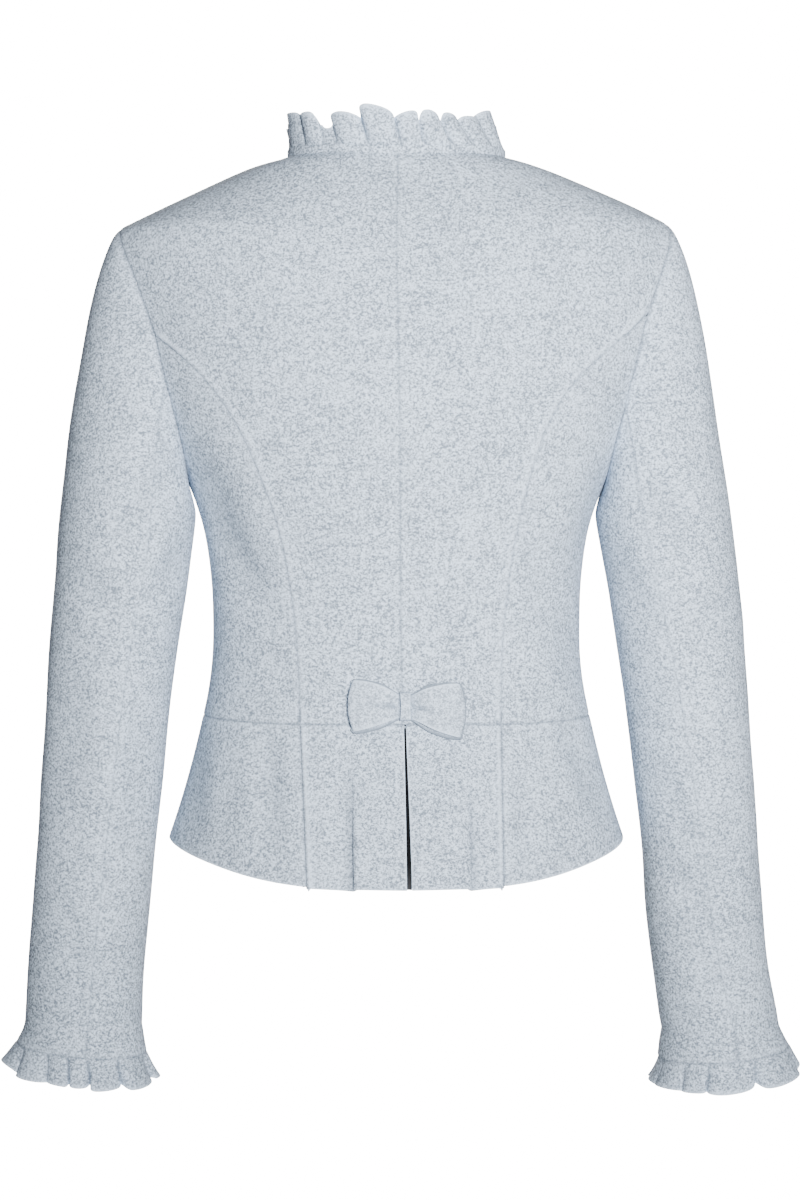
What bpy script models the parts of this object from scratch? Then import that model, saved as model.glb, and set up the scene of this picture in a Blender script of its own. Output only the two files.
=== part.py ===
"""Short fitted women's jacket of fulled wool, in its worn, hollow form.

Units are metres, +Z is up, the back faces +Y and the wearer's left is +X. The origin is the middle
of the base of the neck, where the wearer holds the jacket up. Every cloth piece is a wall of even
thickness: its outer face follows a form worked out from the tables below, its inner face is the
same form moved in by the wall, and neighbouring pieces stand a seam's gap apart.
"""
from collections import namedtuple
import math

import bpy
import numpy as np

MM = 0.001
WALL = 2.2 * MM
FRILL_WALL = 1.7 * MM
BOW_WALL = 1.8 * MM
SEAM_GAP = 0.3 * MM
CLEARANCE = 0.8 * MM
WRAP_DROP = WALL + 1.2 * MM
CLOTH_COLOUR = (0.57, 0.64, 0.70)
BUTTON_COLOUR = (0.34, 0.37, 0.40)

# The figure under the cloth, as level slices: half width, reach to the back and to the front, and
# how square the slice is (2 is an ellipse). Millimetres.
Slice = namedtuple("Slice", "level half_width back front square")
BODY_SLICES = (
    Slice(12, 66, 50, 40, 2.0),
    Slice(0, 76, 62, 52, 2.0),
    Slice(-5, 97, 66, 55, 2.0),
    Slice(-11, 113, 70, 59, 2.0),
    Slice(-22, 138, 76, 66, 2.05),
    Slice(-34, 165, 83, 73, 2.1),
    Slice(-45, 188.5, 88, 78.5, 2.12),
    Slice(-52, 198.5, 91, 82, 2.15),
    Slice(-58, 202, 93.3, 85.2, 2.17),
    Slice(-66, 203.5, 96, 89, 2.2),
    Slice(-95, 200, 103, 101, 2.2),
    Slice(-130, 190, 108, 114, 2.25),
    Slice(-170, 177, 111, 126, 2.3),
    Slice(-200, 163.5, 111, 133, 2.3),
    Slice(-225, 153, 109, 136, 2.3),
    Slice(-237, 149, 108, 136, 2.3),
    Slice(-261, 140, 104, 133, 2.3),
    Slice(-290, 134.6, 97.5, 125, 2.25),
    Slice(-319, 132.3, 90, 114, 2.2),
    Slice(-348, 132, 86, 106, 2.2),
    Slice(-377, 134.3, 86.5, 105, 2.2),
    Slice(-405, 140, 91, 108, 2.2),
    Slice(-434, 147, 98, 112, 2.15),
    Slice(-463, 155.3, 106, 117, 2.1),
    Slice(-492, 165, 113, 122, 2.1),
    Slice(-525, 177, 119, 128, 2.1),
)

# How far the figure stands over to the left at each level, because its right shoulder is higher.
Shift = namedtuple("Shift", "level out")
FIGURE_SHIFT = (
    Shift(12, 0), Shift(0, 0), Shift(-11, -1.4), Shift(-20, -2.2), Shift(-28, -3.5),
    Shift(-37, -4.6), Shift(-44, -3.6), Shift(-50, -1.2), Shift(-56, 0), Shift(-100, 0),
)
SHIFT_STARTS = 60 * MM
SHIFT_WIDTH = 60 * MM

# Neckline oval, seen from above.
NECK_HALF_WIDTH = 79.5 * MM
NECK_BACK = 65.2 * MM
NECK_FRONT = 88 * MM

# Armhole, seen from the side: an upright oval.
ARMHOLE_TOP = {"left": -52 * MM, "right": -46.5 * MM}
ARMHOLE_BOTTOM = -237 * MM
ARMHOLE_BACK = {"left": 51 * MM, "right": 53 * MM}
ARMHOLE_FRONT = 52 * MM

# Middle back seam: how far it runs to the left of the middle.
MIDDLE_SEAM = (
    Shift(0, 2), Shift(-75, 4.7), Shift(-170, 3.6), Shift(-270, 2.2), Shift(-370, 0.7), Shift(-406, 0),
)
# Back panel seams from the armhole to the hem: distance from the middle on each side.
BackSeam = namedtuple("BackSeam", "level left right")
BACK_SEAM = (
    BackSeam(-121, 176, 176),
    BackSeam(-133, 173.5, 158),
    BackSeam(-142, 162, 146),
    BackSeam(-152, 150, 134),
    BackSeam(-163, 139, 122),
    BackSeam(-175, 129, 112),
    BackSeam(-190, 120, 104),
    BackSeam(-210, 109, 96),
    BackSeam(-230, 101, 90),
    BackSeam(-255, 91, 83.5),
    BackSeam(-285, 83, 78),
    BackSeam(-320, 77, 73.5),
    BackSeam(-360, 73, 70.5),
    BackSeam(-405, 72, 70),
    BackSeam(-460, 70, 70),
    BackSeam(-525, 68, 70),
)
# Front panel seams, the same on both sides.
FrontSeam = namedtuple("FrontSeam", "level out")
FRONT_SEAM = (
    FrontSeam(-120, 186),
    FrontSeam(-150, 150),
    FrontSeam(-180, 122),
    FrontSeam(-235, 98),
    FrontSeam(-300, 82),
    FrontSeam(-360, 74),
    FrontSeam(-405, 76),
)
# Where the seams leave the armhole, in degrees round it from the shoulder point towards the back.
ARMHOLE_BACK_SEAM = {"left": 82.5, "right": 75.0}
ARMHOLE_FRONT_SEAM = 285.0
SLEEVE_BACK_SEAM_TURN = {"left": 104.0, "right": 116.0}
SLEEVE_FRONT_SEAM_TURN = 232.0

# Level of the waist seam and of the hem, by angle from the middle of the back.
EdgeLevel = namedtuple("EdgeLevel", "angle waist hem")
LOWER_EDGES = (
    EdgeLevel(0, -406, -520),
    EdgeLevel(30, -406, -519),
    EdgeLevel(45, -406, -515),
    EdgeLevel(60, -405, -505.5),
    EdgeLevel(75, -403, -496),
    EdgeLevel(90, -401, -489),
    EdgeLevel(110, -400, -491),
    EdgeLevel(130, -400, -502),
    EdgeLevel(150, -400, -518),
    EdgeLevel(165, -400, -534),
    EdgeLevel(180, -400, -540),
    EdgeLevel(200, -400, -540),
)
WRAP_PAST_MIDDLE = 18 * MM
WRAP_COLUMNS = (40 * MM, 20.5 * MM, 1 * MM)
# The slit: half its width and how far it stands to the left of the middle, at the waist and the hem.
SLIT_HALF_TOP = 0.5 * MM
SLIT_HALF_HEM = 1.6 * MM
SLIT_OUT_TOP = -1.5 * MM
SLIT_OUT_HEM = -3.2 * MM

# Pressed folds of the middle back peplum: place from the middle, and width and height of the step.
PeplumFold = namedtuple("PeplumFold", "out width rise")
PEPLUM_FOLD = {
    "left": PeplumFold(37 * MM, 9 * MM, 3.4 * MM),
    "right": PeplumFold(46 * MM, 9 * MM, 3.4 * MM),
}

# Sleeve slices below the armhole: the middle of each sleeve from the body's middle, how far back the
# middle lies, half width, half depth, and where the back seam runs round the slice.
SleeveSlice = namedtuple("SleeveSlice", "level left right back half_width half_depth seam_left seam_right")
SLEEVE_SLICES = (
    SleeveSlice(-261, 193.5, 193, 2, 49.5, 56, 110, 113),
    SleeveSlice(-290, 196.3, 197.5, 3, 49, 54.5, 110, 111),
    SleeveSlice(-319, 199.5, 201, 4, 47.8, 52.5, 108, 108.7),
    SleeveSlice(-348, 203, 204.5, 4, 46.6, 50.5, 106, 105),
    SleeveSlice(-377, 206, 207.5, 3, 45.4, 48.5, 104, 102),
    SleeveSlice(-405, 208, 210.5, 1, 44.7, 47, 102, 99),
    SleeveSlice(-434, 210.5, 213.5, -3, 44.1, 46, 101, 96.3),
    SleeveSlice(-463, 213, 217, -7, 43.4, 45, 100, 94.5),
    SleeveSlice(-492, 215.8, 220, -12, 43, 44.5, 99, 92.8),
    SleeveSlice(-535, 219.3, 224, -20, 42.7, 43.8, 98, 89.3),
    SleeveSlice(-564, 222, 227, -26, 42.8, 43.2, 97, 87),
    SleeveSlice(-593, 224.5, 232, -33, 42.4, 43, 96, 85),
    SleeveSlice(-612, 225.5, 235.5, -37, 42.6, 43.4, 95, 83),
    SleeveSlice(-630, 225.5, 238.5, -41, 43.4, 44.6, 95, 81.3),
    SleeveSlice(-652, 223.7, 239.2, -46, 46.8, 46.5, 95, 81),
)
SLEEVE_END = {"left": -623 * MM, "right": -628.5 * MM}
CUFF_HEIGHT = 20 * MM
CUFF_TILT_BACK = 0.11
CUFF_TILT_OUT = 0.08
SLEEVE_ROWS = 12
HEAD_STEPS = (0, 0.1, 0.24, 0.4, 0.58, 0.78, 1)

# Gathers of the frills, in order along the seam, from valley to valley: width along the seam, how
# far the fold stands out, how far its top rises above the frill's plain height, how far the valley
# before it dips below that, its lean, and how far the frill has turned outwards near its edge, in
# degrees.
Gather = namedtuple("Gather", "width reach rise dip lean tilt")
COLLAR_BAND = 5.5 * MM
COLLAR_GATHERS = (
    Gather(24, 6.0, 2.0, 1.0, 0, 14), Gather(21, 5.5, 1.0, 2.0, 0, 12), Gather(27, 6.5, 2.0, 0.5, 0, 12),
    Gather(22, 6.0, 1.5, 3.0, 0, 10), Gather(26, 6.5, 2.0, 1.0, 0, 8), Gather(20, 6.0, 1.5, 2.0, 0, 6),
    Gather(18, 6.0, 0.5, 1.0, 0.5, 4), Gather(26.5, 6.0, 1.0, 0.5, 1.0, 4),
    Gather(23.5, 7.0, 2.5, 1.0, 3.0, 5), Gather(31, 7.5, 3.0, 8.0, 5.5, 6),
    Gather(24, 8.5, 8.5, -2.0, 6.0, 6), Gather(18.5, 6.0, 4.5, -2.0, 4.5, 5),
    Gather(21.5, 6.5, 5.0, 3.0, 9.0, 4), Gather(17, 5.5, 2.5, 3.0, 12.0, 3),
    Gather(22, 6.0, 2.0, 3.5, 11.5, 2), Gather(21.5, 6.0, 5.0, -2.5, 10.5, 0),
    Gather(19, 5.5, 3.5, 0.5, 9.0, 0), Gather(22, 6.0, 1.5, 2.0, 6.0, 4),
    Gather(25, 6.5, 2.0, 1.0, 4.0, 8), Gather(22, 6.0, 1.5, 2.5, 2.0, 10),
    Gather(26.5, 6.5, 2.0, 1.0, 1.0, 12), Gather(22, 5.5, 1.0, 2.0, 0, 12),
    Gather(25, 6.0, 2.0, 1.0, 0, 14),
)
CUFF_GATHERS = (
    Gather(25, 5.5, 0.5, 0.5, 1.5, 54), Gather(27, 6.5, 1.0, 1.0, 2.0, 32),
    Gather(15, 4.5, 0.5, 1.5, 3.0, 18), Gather(15, 4.5, 1.0, 0.5, 3.0, 12),
    Gather(16, 4.5, 0.5, 1.0, 3.0, 12), Gather(18, 5.0, 1.0, 0.5, 3.0, 18),
    Gather(23, 5.5, 0.5, 1.0, 3.0, 30), Gather(25, 5.5, 1.0, 0.5, 2.0, 42),
    Gather(21, 5.5, 0.5, 1.0, 1.0, 38), Gather(18, 5.0, 1.0, 0.5, 1.0, 26),
    Gather(17, 4.5, 0.5, 1.0, 1.0, 22), Gather(19, 5.0, 1.0, 0.5, 1.0, 28),
    Gather(17, 4.5, 0.5, 1.0, 1.0, 54), Gather(20, 5.0, 1.0, 0.5, 1.0, 82),
)
# Each frill: its plain height, columns on each stretch of its seam, where its first gather starts,
# and the share of the table's tilt that it takes.
Frill = namedtuple("Frill", "gathers height columns start tilted closed")
COLLAR_FRILL = Frill(COLLAR_GATHERS, 20 * MM, 6, 0, 1, False)
CUFF_FRILLS = {
    "left": Frill(CUFF_GATHERS, 20.5 * MM, 4, -0.035, 1, True),
    "right": Frill(CUFF_GATHERS, 20.5 * MM, 4, -0.06, 0.76, True),
}
FRILL_STEPS = (0, 0.28, 0.62, 1)

# The bow on the waist seam, seen from behind: stations from the knot out to the fold of each loop.
BowStation = namedtuple("BowStation", "out opening half_height")
BOW_STATIONS = (
    BowStation(4.6, 0.5, 8.0),
    BowStation(9.5, 2.2, 10.0),
    BowStation(17, 5.0, 13.5),
    BowStation(25.5, 5.6, 16.3),
    BowStation(34, 4.4, 18.2),
)
BOW_FOLD_OUT = 39.4 * MM
BOW_OUT = -1.6 * MM
BOW_LEVEL = -394.5 * MM
BOW_SLANT = 0.035
KNOT_HALF_WIDTH = 4.1 * MM
# Half of the knot's strap, from its sewn edge up over the pinched bow to the middle: height from
# the bow's middle and lift from the back, of the strap's outside and inside.
KnotStation = namedtuple("KnotStation", "outer_height outer_lift inner_height inner_lift")
KNOT_STATIONS = (
    KnotStation(10.3, 0.8, 8.7, 0.8),
    KnotStation(10.2, 5.2, 8.7, 5.0),
    KnotStation(9.0, 6.8, 8.2, 5.5),
    KnotStation(5.0, 7.4, 4.8, 5.7),
    KnotStation(0.0, 7.6, 0.0, 5.8),
)

BUTTON_LEVELS = (-86, -160, -234, -308, -382)
BUTTON_RADIUS = 9.5 * MM
BUTTON_HEIGHT = 4.2 * MM

PRINCESS_ROWS = 12
SHOULDER_LEVELS = (0, -6, -14, -25, -38, -52)
ARMHOLE_UPPER_STEPS = 5
ARMHOLE_LOWER_STEPS = 7
BACK_COLUMNS = 7
FRONT_COLUMNS = 4
PEPLUM_ROWS = 6


class Curve:
    """A smooth curve through table rows, without overshoot between them."""

    def __init__(self, keys, values):
        order = np.argsort(keys)
        self.keys = np.array(keys, float)[order]
        self.values = np.array(values, float)[order]
        steps = np.diff(self.keys)
        rises = np.diff(self.values) / steps
        self.slopes = np.zeros(len(self.keys))
        self.slopes[0] = rises[0]
        self.slopes[-1] = rises[-1]
        for i in range(1, len(self.keys) - 1):
            before, after = rises[i - 1], rises[i]
            if before * after > 0:
                self.slopes[i] = 2 * before * after / (before + after)

    def __call__(self, key):
        key = min(max(key, self.keys[0]), self.keys[-1])
        i = min(int(np.searchsorted(self.keys, key, side="right")) - 1, len(self.keys) - 2)
        step = self.keys[i + 1] - self.keys[i]
        t = (key - self.keys[i]) / step
        return (
            self.values[i] * (2 * t**3 - 3 * t**2 + 1)
            + self.values[i + 1] * (3 * t**2 - 2 * t**3)
            + self.slopes[i] * step * (t**3 - 2 * t**2 + t)
            + self.slopes[i + 1] * step * (t**3 - t**2)
        )


def table_curve(rows, key, value, key_unit=MM, value_unit=MM):
    """Smooth curve of one named column of a table against another."""
    keys = [getattr(row, key) * key_unit for row in rows]
    values = [getattr(row, value) * value_unit for row in rows]
    return Curve(keys, values)


BODY_WIDTH = table_curve(BODY_SLICES, "level", "half_width")
BODY_BACK = table_curve(BODY_SLICES, "level", "back")
BODY_FRONT = table_curve(BODY_SLICES, "level", "front")
BODY_SQUARE = table_curve(BODY_SLICES, "level", "square", value_unit=1)
BACK_SEAM_OUT = {
    side: table_curve(BACK_SEAM, "level", side) for side in ("left", "right")
}
FRONT_SEAM_OUT = table_curve(FRONT_SEAM, "level", "out")
MIDDLE_SEAM_OUT = table_curve(MIDDLE_SEAM, "level", "out")
SHIFT_OUT = table_curve(FIGURE_SHIFT, "level", "out")
WAIST_LEVEL = table_curve(LOWER_EDGES, "angle", "waist", key_unit=math.radians(1))
HEM_LEVEL = table_curve(LOWER_EDGES, "angle", "hem", key_unit=math.radians(1))
SIDE_SIGN = {"left": 1, "right": -1}


def smooth(t):
    """Ease from 0 to 1 without a corner."""
    t = min(max(t, 0.0), 1.0)
    return t * t * (3 - 2 * t)


def unit(vector):
    """The vector at length one."""
    return vector / np.linalg.norm(vector)


def bisect(function, low, high, steps=44):
    """Key between low and high where a rising function crosses zero."""
    for _ in range(steps):
        middle = (low + high) / 2
        if function(middle) < 0:
            low = middle
        else:
            high = middle
    return (low + high) / 2


# ---- the figure: points are (angle, level), the angle turning from the middle back to the side ----

def oval_radius(angle, half_width, back, front, square):
    """Distance from the middle to an oval whose back and front reach differ."""
    depth = back if math.cos(angle) > 0 else front
    across = abs(math.sin(angle)) / half_width
    along = abs(math.cos(angle)) / depth
    return (across**square + along**square) ** (-1 / square)


def body_point(angle, level):
    """Point of the figure's outside on its left half."""
    radius = oval_radius(
        angle, BODY_WIDTH(level), BODY_BACK(level), BODY_FRONT(level), BODY_SQUARE(level)
    )
    return np.array([radius * math.sin(angle), radius * math.cos(angle), level])


def body_normal(angle, level):
    """Outward direction of the figure's outside."""
    turn = math.radians(0.5)
    rise = 1 * MM
    along = body_point(angle + turn, level) - body_point(angle - turn, level)
    up = body_point(angle, level + rise) - body_point(angle, level - rise)
    return unit(np.cross(up, along))


def angle_at(out, level, front=False):
    """Angle where the slice at a level lies that far out from the middle."""
    if front:
        return bisect(lambda a: out - body_point(a, level)[0], math.pi / 2, 1.25 * math.pi)
    return bisect(lambda a: body_point(a, level)[0] - out, -math.pi / 8, math.pi / 2)


def neckline(angle):
    """Neckline point at an angle: the level where the figure is as wide as the neck oval."""
    radius = oval_radius(angle, NECK_HALF_WIDTH, NECK_BACK, NECK_FRONT, 2)
    level = -bisect(
        lambda drop: np.hypot(*body_point(angle, -drop)[:2]) - radius, -10 * MM, 120 * MM
    )
    return angle, level


def armhole(side, turn):
    """Armhole point, at a turn in degrees from the shoulder point towards the back."""
    middle = (ARMHOLE_TOP[side] + ARMHOLE_BOTTOM) / 2
    half = (ARMHOLE_TOP[side] - ARMHOLE_BOTTOM) / 2
    level = middle + half * math.cos(math.radians(turn))
    swing = math.sin(math.radians(turn))
    depth = swing * (ARMHOLE_BACK[side] if swing > 0 else ARMHOLE_FRONT)
    reach = BODY_BACK(level) if swing > 0 else BODY_FRONT(level)
    square = BODY_SQUARE(level)
    out = BODY_WIDTH(level) * (1 - (abs(depth) / reach) ** square) ** (1 / square)
    return math.atan2(out, depth), level


def steps_between(start, end, count):
    """Evenly spaced values, both ends included."""
    return [start + (end - start) * i / count for i in range(count + 1)]


def even_levels(point_at, start, end, count):
    """Levels that cut a seam from start to end into equal lengths."""
    fine = steps_between(start, end, 200)
    points = np.array([body_point(*point_at(level)) for level in fine])
    lengths = np.concatenate([[0], np.cumsum(np.linalg.norm(np.diff(points, axis=0), axis=1))])
    return [float(np.interp(lengths[-1] * i / count, lengths, fine)) for i in range(count + 1)]


def back_seam_point(side, level):
    """Point of a back panel seam at a level."""
    return angle_at(BACK_SEAM_OUT[side](level), level), level


def front_seam_point(level):
    """Point of the front panel seam at a level."""
    return angle_at(FRONT_SEAM_OUT(level), level, front=True), level


# ---- walls ----

def coons(top, bottom, left, right):
    """Grid of (angle, level) points between four edges; rows run from top to bottom."""
    rows, columns = len(left) - 1, len(top) - 1
    top, bottom, left, right = (np.array(edge, float) for edge in (top, bottom, left, right))
    grid = np.zeros((rows + 1, columns + 1, 2))
    down_share = (left[:, 1] - left[0, 1]) / (left[-1, 1] - left[0, 1])
    for i in range(rows + 1):
        t = down_share[i]
        for j in range(columns + 1):
            s = j / columns
            ruled_down = (1 - t) * top[j] + t * bottom[j]
            ruled_across = (1 - s) * left[i] + s * right[i]
            corners = (
                (1 - t) * ((1 - s) * top[0] + s * top[-1])
                + t * ((1 - s) * bottom[0] + s * bottom[-1])
            )
            grid[i, j] = ruled_down + ruled_across - corners
    grid[0], grid[-1] = top, bottom
    grid[:, 0], grid[:, -1] = left, right
    return grid


def edge_inset(points, normals, inner_points):
    """Shift that draws an edge back from its seam, square to the seam."""
    shift = np.zeros_like(points)
    for i in range(len(points)):
        along = points[min(i + 1, len(points) - 1)] - points[max(i - 1, 0)]
        square = unit(np.cross(normals[i], along))
        if np.dot(square, inner_points[i] - points[i]) < 0:
            square = -square
        shift[i] = square * SEAM_GAP / 2
    return shift


def draw_back_edges(outer, normals):
    """Move the four edges of an open grid of points in by half a seam's gap."""
    shift = np.zeros_like(outer)
    shift[0] += edge_inset(outer[0], normals[0], outer[1])
    shift[-1] += edge_inset(outer[-1], normals[-1], outer[-2])
    shift[:, 0] += edge_inset(outer[:, 0], normals[:, 0], outer[:, 1])
    shift[:, -1] += edge_inset(outer[:, -1], normals[:, -1], outer[:, -2])
    return outer + shift


def wall_mesh(name, outer, inner, closed=False):
    """Closed wall between two grids of points; a closed one joins its last column to its first."""
    rows, columns = outer.shape[:2]
    points = np.concatenate([outer.reshape(-1, 3), inner.reshape(-1, 3)])
    back = rows * columns
    spans = columns if closed else columns - 1
    faces = []
    for i in range(rows - 1):
        for j in range(spans):
            a, b = i * columns + j, i * columns + (j + 1) % columns
            c, d = b + columns, a + columns
            faces.append((a, d, c, b))
            faces.append((back + a, back + b, back + c, back + d))
    for j in range(spans):
        a, b = j, (j + 1) % columns
        faces += [(a, b, back + b), (a, back + b, back + a)]
        a, b = a + (rows - 1) * columns, b + (rows - 1) * columns
        faces += [(b, a, back + b), (a, back + a, back + b)]
    if not closed:
        for i in range(rows - 1):
            a, b = i * columns, (i + 1) * columns
            faces += [(b, a, back + b), (a, back + a, back + b)]
            a, b = a + columns - 1, b + columns - 1
            faces += [(a, b, back + b), (a, back + b, back + a)]
    middle = (outer.shape[0] // 2, outer.shape[1] // 2)
    i, j = min(middle[0], rows - 2), min(middle[1], columns - 2)
    across = np.cross(outer[i + 1, j] - outer[i, j], outer[i, j + 1] - outer[i, j])
    if np.dot(across, outer[i, j] - inner[i, j]) < 0:
        faces = [face[::-1] for face in faces]
    mesh = bpy.data.meshes.new(name)
    mesh.from_pydata([tuple(point) for point in points], [], faces)
    mesh.update()
    return mesh


def body_wall(name, grid, side, column_drop=None, relief=None):
    """Wall on the figure from a grid of (angle, level), mirrored for the right side."""
    rows, columns = grid.shape[:2]
    outer = np.zeros((rows, columns, 3))
    normals = np.zeros((rows, columns, 3))
    for i in range(rows):
        for j in range(columns):
            angle, level = grid[i, j]
            normals[i, j] = body_normal(angle, level)
            lift = relief(angle, level) if relief else 0.0
            if column_drop:
                lift -= column_drop[j]
            outer[i, j] = body_point(angle, level) + normals[i, j] * lift
    outer = draw_back_edges(outer, normals)
    inner = outer - normals * WALL
    mirror = np.array([SIDE_SIGN[side], 1, 1])
    lean = np.zeros_like(outer)
    for i in range(rows):
        for j in range(columns):
            share = smooth((outer[i, j, 0] - SHIFT_STARTS) / SHIFT_WIDTH)
            lean[i, j, 0] = SHIFT_OUT(grid[i, j, 1]) * share
    return add_object(name, wall_mesh(name, outer * mirror + lean, inner * mirror + lean), "loden")


def grid_normals(outer, closed, flip=1):
    """Outward directions of a grid of points from its neighbours."""
    rows, columns = outer.shape[:2]
    normals = np.zeros_like(outer)
    for i in range(rows):
        for j in range(columns):
            down = outer[min(i + 1, rows - 1), j] - outer[max(i - 1, 0), j]
            if closed:
                across = outer[i, (j + 1) % columns] - outer[i, (j - 1) % columns]
            else:
                across = outer[i, min(j + 1, columns - 1)] - outer[i, max(j - 1, 0)]
            normals[i, j] = unit(np.cross(down, across)) * flip
    return normals


# ---- materials and objects ----

def make_material(name, colour, roughness):
    """Plain principled material."""
    material = bpy.data.materials.new(name)
    material.use_nodes = True
    shader = material.node_tree.nodes["Principled BSDF"]
    shader.inputs["Base Color"].default_value = (*colour, 1)
    shader.inputs["Roughness"].default_value = roughness
    shader.inputs["Metallic"].default_value = 0.0
    return material


def add_object(name, mesh, material):
    """Put a mesh into the jacket's collection under its own name and material."""
    thing = bpy.data.objects.new(name, mesh)
    bpy.data.collections["tyrolean_jacket"].objects.link(thing)
    looks = {"loden": (CLOTH_COLOUR, 0.95), "button": (BUTTON_COLOUR, 0.4)}
    mesh.materials.append(make_material(name + "_" + material, *looks[material]))
    return thing


# ---- bodice ----

def shoulder_edge(side):
    """Shoulder seam from the neckline to the armhole, along the top of the shoulder."""
    start = neckline(math.pi / 2)[1]
    drop = ARMHOLE_TOP[side] - start
    return [(math.pi / 2, start + drop * level / SHOULDER_LEVELS[-1]) for level in SHOULDER_LEVELS]


def armhole_turns(side):
    """Turns of the armhole's points, the same for the panels and the sleeve."""
    start, sleeve_seam = ARMHOLE_BACK_SEAM[side], SLEEVE_BACK_SEAM_TURN[side]
    upper = steps_between(0, start, ARMHOLE_UPPER_STEPS)
    lower = steps_between(start, sleeve_seam, 2)
    lower += steps_between(sleeve_seam, 180, ARMHOLE_LOWER_STEPS - 2)[1:]
    front_lower = steps_between(180, SLEEVE_FRONT_SEAM_TURN, 3)
    front_lower += steps_between(SLEEVE_FRONT_SEAM_TURN, ARMHOLE_FRONT_SEAM,
                                 ARMHOLE_LOWER_STEPS - 3)[1:]
    front_upper = steps_between(ARMHOLE_FRONT_SEAM, 360, ARMHOLE_UPPER_STEPS)
    return upper, lower, front_lower, front_upper


def waist_edge(start_angle, end_angle, count):
    """Waist seam between two angles."""
    return [(angle, WAIST_LEVEL(angle)) for angle in steps_between(start_angle, end_angle, count)]


def panel_seam(side):
    """Back panel seam from the armhole to the waist."""
    start = armhole(side, ARMHOLE_BACK_SEAM[side])
    end = WAIST_LEVEL(back_seam_point(side, WAIST_LEVEL(0))[0])
    levels = even_levels(lambda level: back_seam_point(side, level), start[1], end, PRINCESS_ROWS)
    return [start] + [back_seam_point(side, level) for level in levels[1:]]


def make_back(side):
    """Back panel: middle seam to shoulder, armhole and back seam."""
    upper = armhole_turns(side)[0]
    seam = panel_seam(side)
    right = shoulder_edge(side) + [armhole(side, turn) for turn in upper[1:]] + seam[1:]
    left = [
        (angle_at(SIDE_SIGN[side] * MIDDLE_SEAM_OUT(level), level), level) for _, level in right
    ]
    top = [neckline(angle) for angle in steps_between(left[0][0], math.pi / 2, BACK_COLUMNS)]
    bottom = waist_edge(left[-1][0], seam[-1][0], BACK_COLUMNS)
    left[0], left[-1] = top[0], bottom[0]
    return body_wall("back_" + side, coons(top, bottom, left, right), side)


def make_side_back(side):
    """Side back panel: back seam to side seam, under the armhole."""
    seam = panel_seam(side)
    top = [armhole(side, turn) for turn in armhole_turns(side)[1]]
    bottom = waist_edge(seam[-1][0], math.pi / 2, ARMHOLE_LOWER_STEPS)
    side_seam = side_seam_edge()
    return body_wall("side_back_" + side, coons(top, bottom, seam, side_seam), side)


def side_seam_edge():
    """Side seam from the underarm point to the waist."""
    levels = steps_between(ARMHOLE_BOTTOM, WAIST_LEVEL(math.pi / 2), PRINCESS_ROWS)
    return [(math.pi / 2, level) for level in levels]


def front_princess(side):
    """Front panel seam from the armhole to the waist."""
    start = armhole(side, ARMHOLE_FRONT_SEAM)
    levels = even_levels(front_seam_point, start[1], WAIST_LEVEL(math.pi), PRINCESS_ROWS)
    return [start] + [front_seam_point(level) for level in levels[1:]]


def make_side_front(side):
    """Side front panel: side seam to front seam, under the armhole."""
    seam = front_princess(side)
    top = [armhole(side, turn) for turn in armhole_turns(side)[2]]
    bottom = waist_edge(math.pi / 2, seam[-1][0], ARMHOLE_LOWER_STEPS)
    return body_wall("side_front_" + side, coons(top, bottom, side_seam_edge(), seam), side)


def wrap_edge(start_angle, level_of, columns):
    """Edge that ends past the middle front, with columns at fixed places near the wrap."""
    near = level_of(math.pi)
    first = angle_at(WRAP_COLUMNS[0], near, front=True)
    angles = steps_between(start_angle, first, columns)
    for out in (*WRAP_COLUMNS[1:], -WRAP_PAST_MIDDLE):
        angles.append(angle_at(out, near, front=True))
    return [(angle, level_of(angle)) for angle in angles]


def wrap_drop(side, columns):
    """How far each column of a front lies under the other front."""
    if side == "right":
        return None
    return [0.0] * (columns + 1) + [WRAP_DROP] * 3


def make_front(side):
    """Front panel: front seam, armhole and shoulder to the front edge past the middle."""
    seam = front_princess(side)
    upper = armhole_turns(side)[3]
    outer_edge = shoulder_edge(side) + [armhole(side, turn) for turn in reversed(upper[:-1])]
    outer_edge += seam[1:]
    top = wrap_edge(math.pi / 2, lambda angle: neckline(angle)[1], FRONT_COLUMNS)
    bottom = wrap_edge(seam[-1][0], WAIST_LEVEL, FRONT_COLUMNS)
    share = [(level - outer_edge[0][1]) / (outer_edge[-1][1] - outer_edge[0][1])
             for _, level in outer_edge]
    start, end = top[-1][1], bottom[-1][1]
    front_levels = [start + (end - start) * t for t in share]
    front_edge = [(angle_at(-WRAP_PAST_MIDDLE, level, front=True), level) for level in front_levels]
    front_edge[0], front_edge[-1] = top[-1], bottom[-1]
    grid = coons(top, bottom, outer_edge, front_edge)
    return body_wall("front_" + side, grid, side, wrap_drop(side, FRONT_COLUMNS))


# ---- peplum ----

def peplum_relief(side):
    """Lift of the middle back peplum between its pressed fold and the slit."""
    fold = PEPLUM_FOLD[side]

    def lift(angle, level):
        out = body_point(angle, level)[0]
        waist, hem = WAIST_LEVEL(angle), HEM_LEVEL(angle)
        down = smooth((waist - level) / (waist - hem) * 1.6)
        inside = smooth((fold.out + fold.width / 2 - out) / fold.width)
        groove = math.exp(-(((out - fold.out - fold.width * 0.7) / fold.width) ** 2))
        return down * (fold.rise * inside - 0.45 * fold.rise * groove)

    return lift


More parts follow.
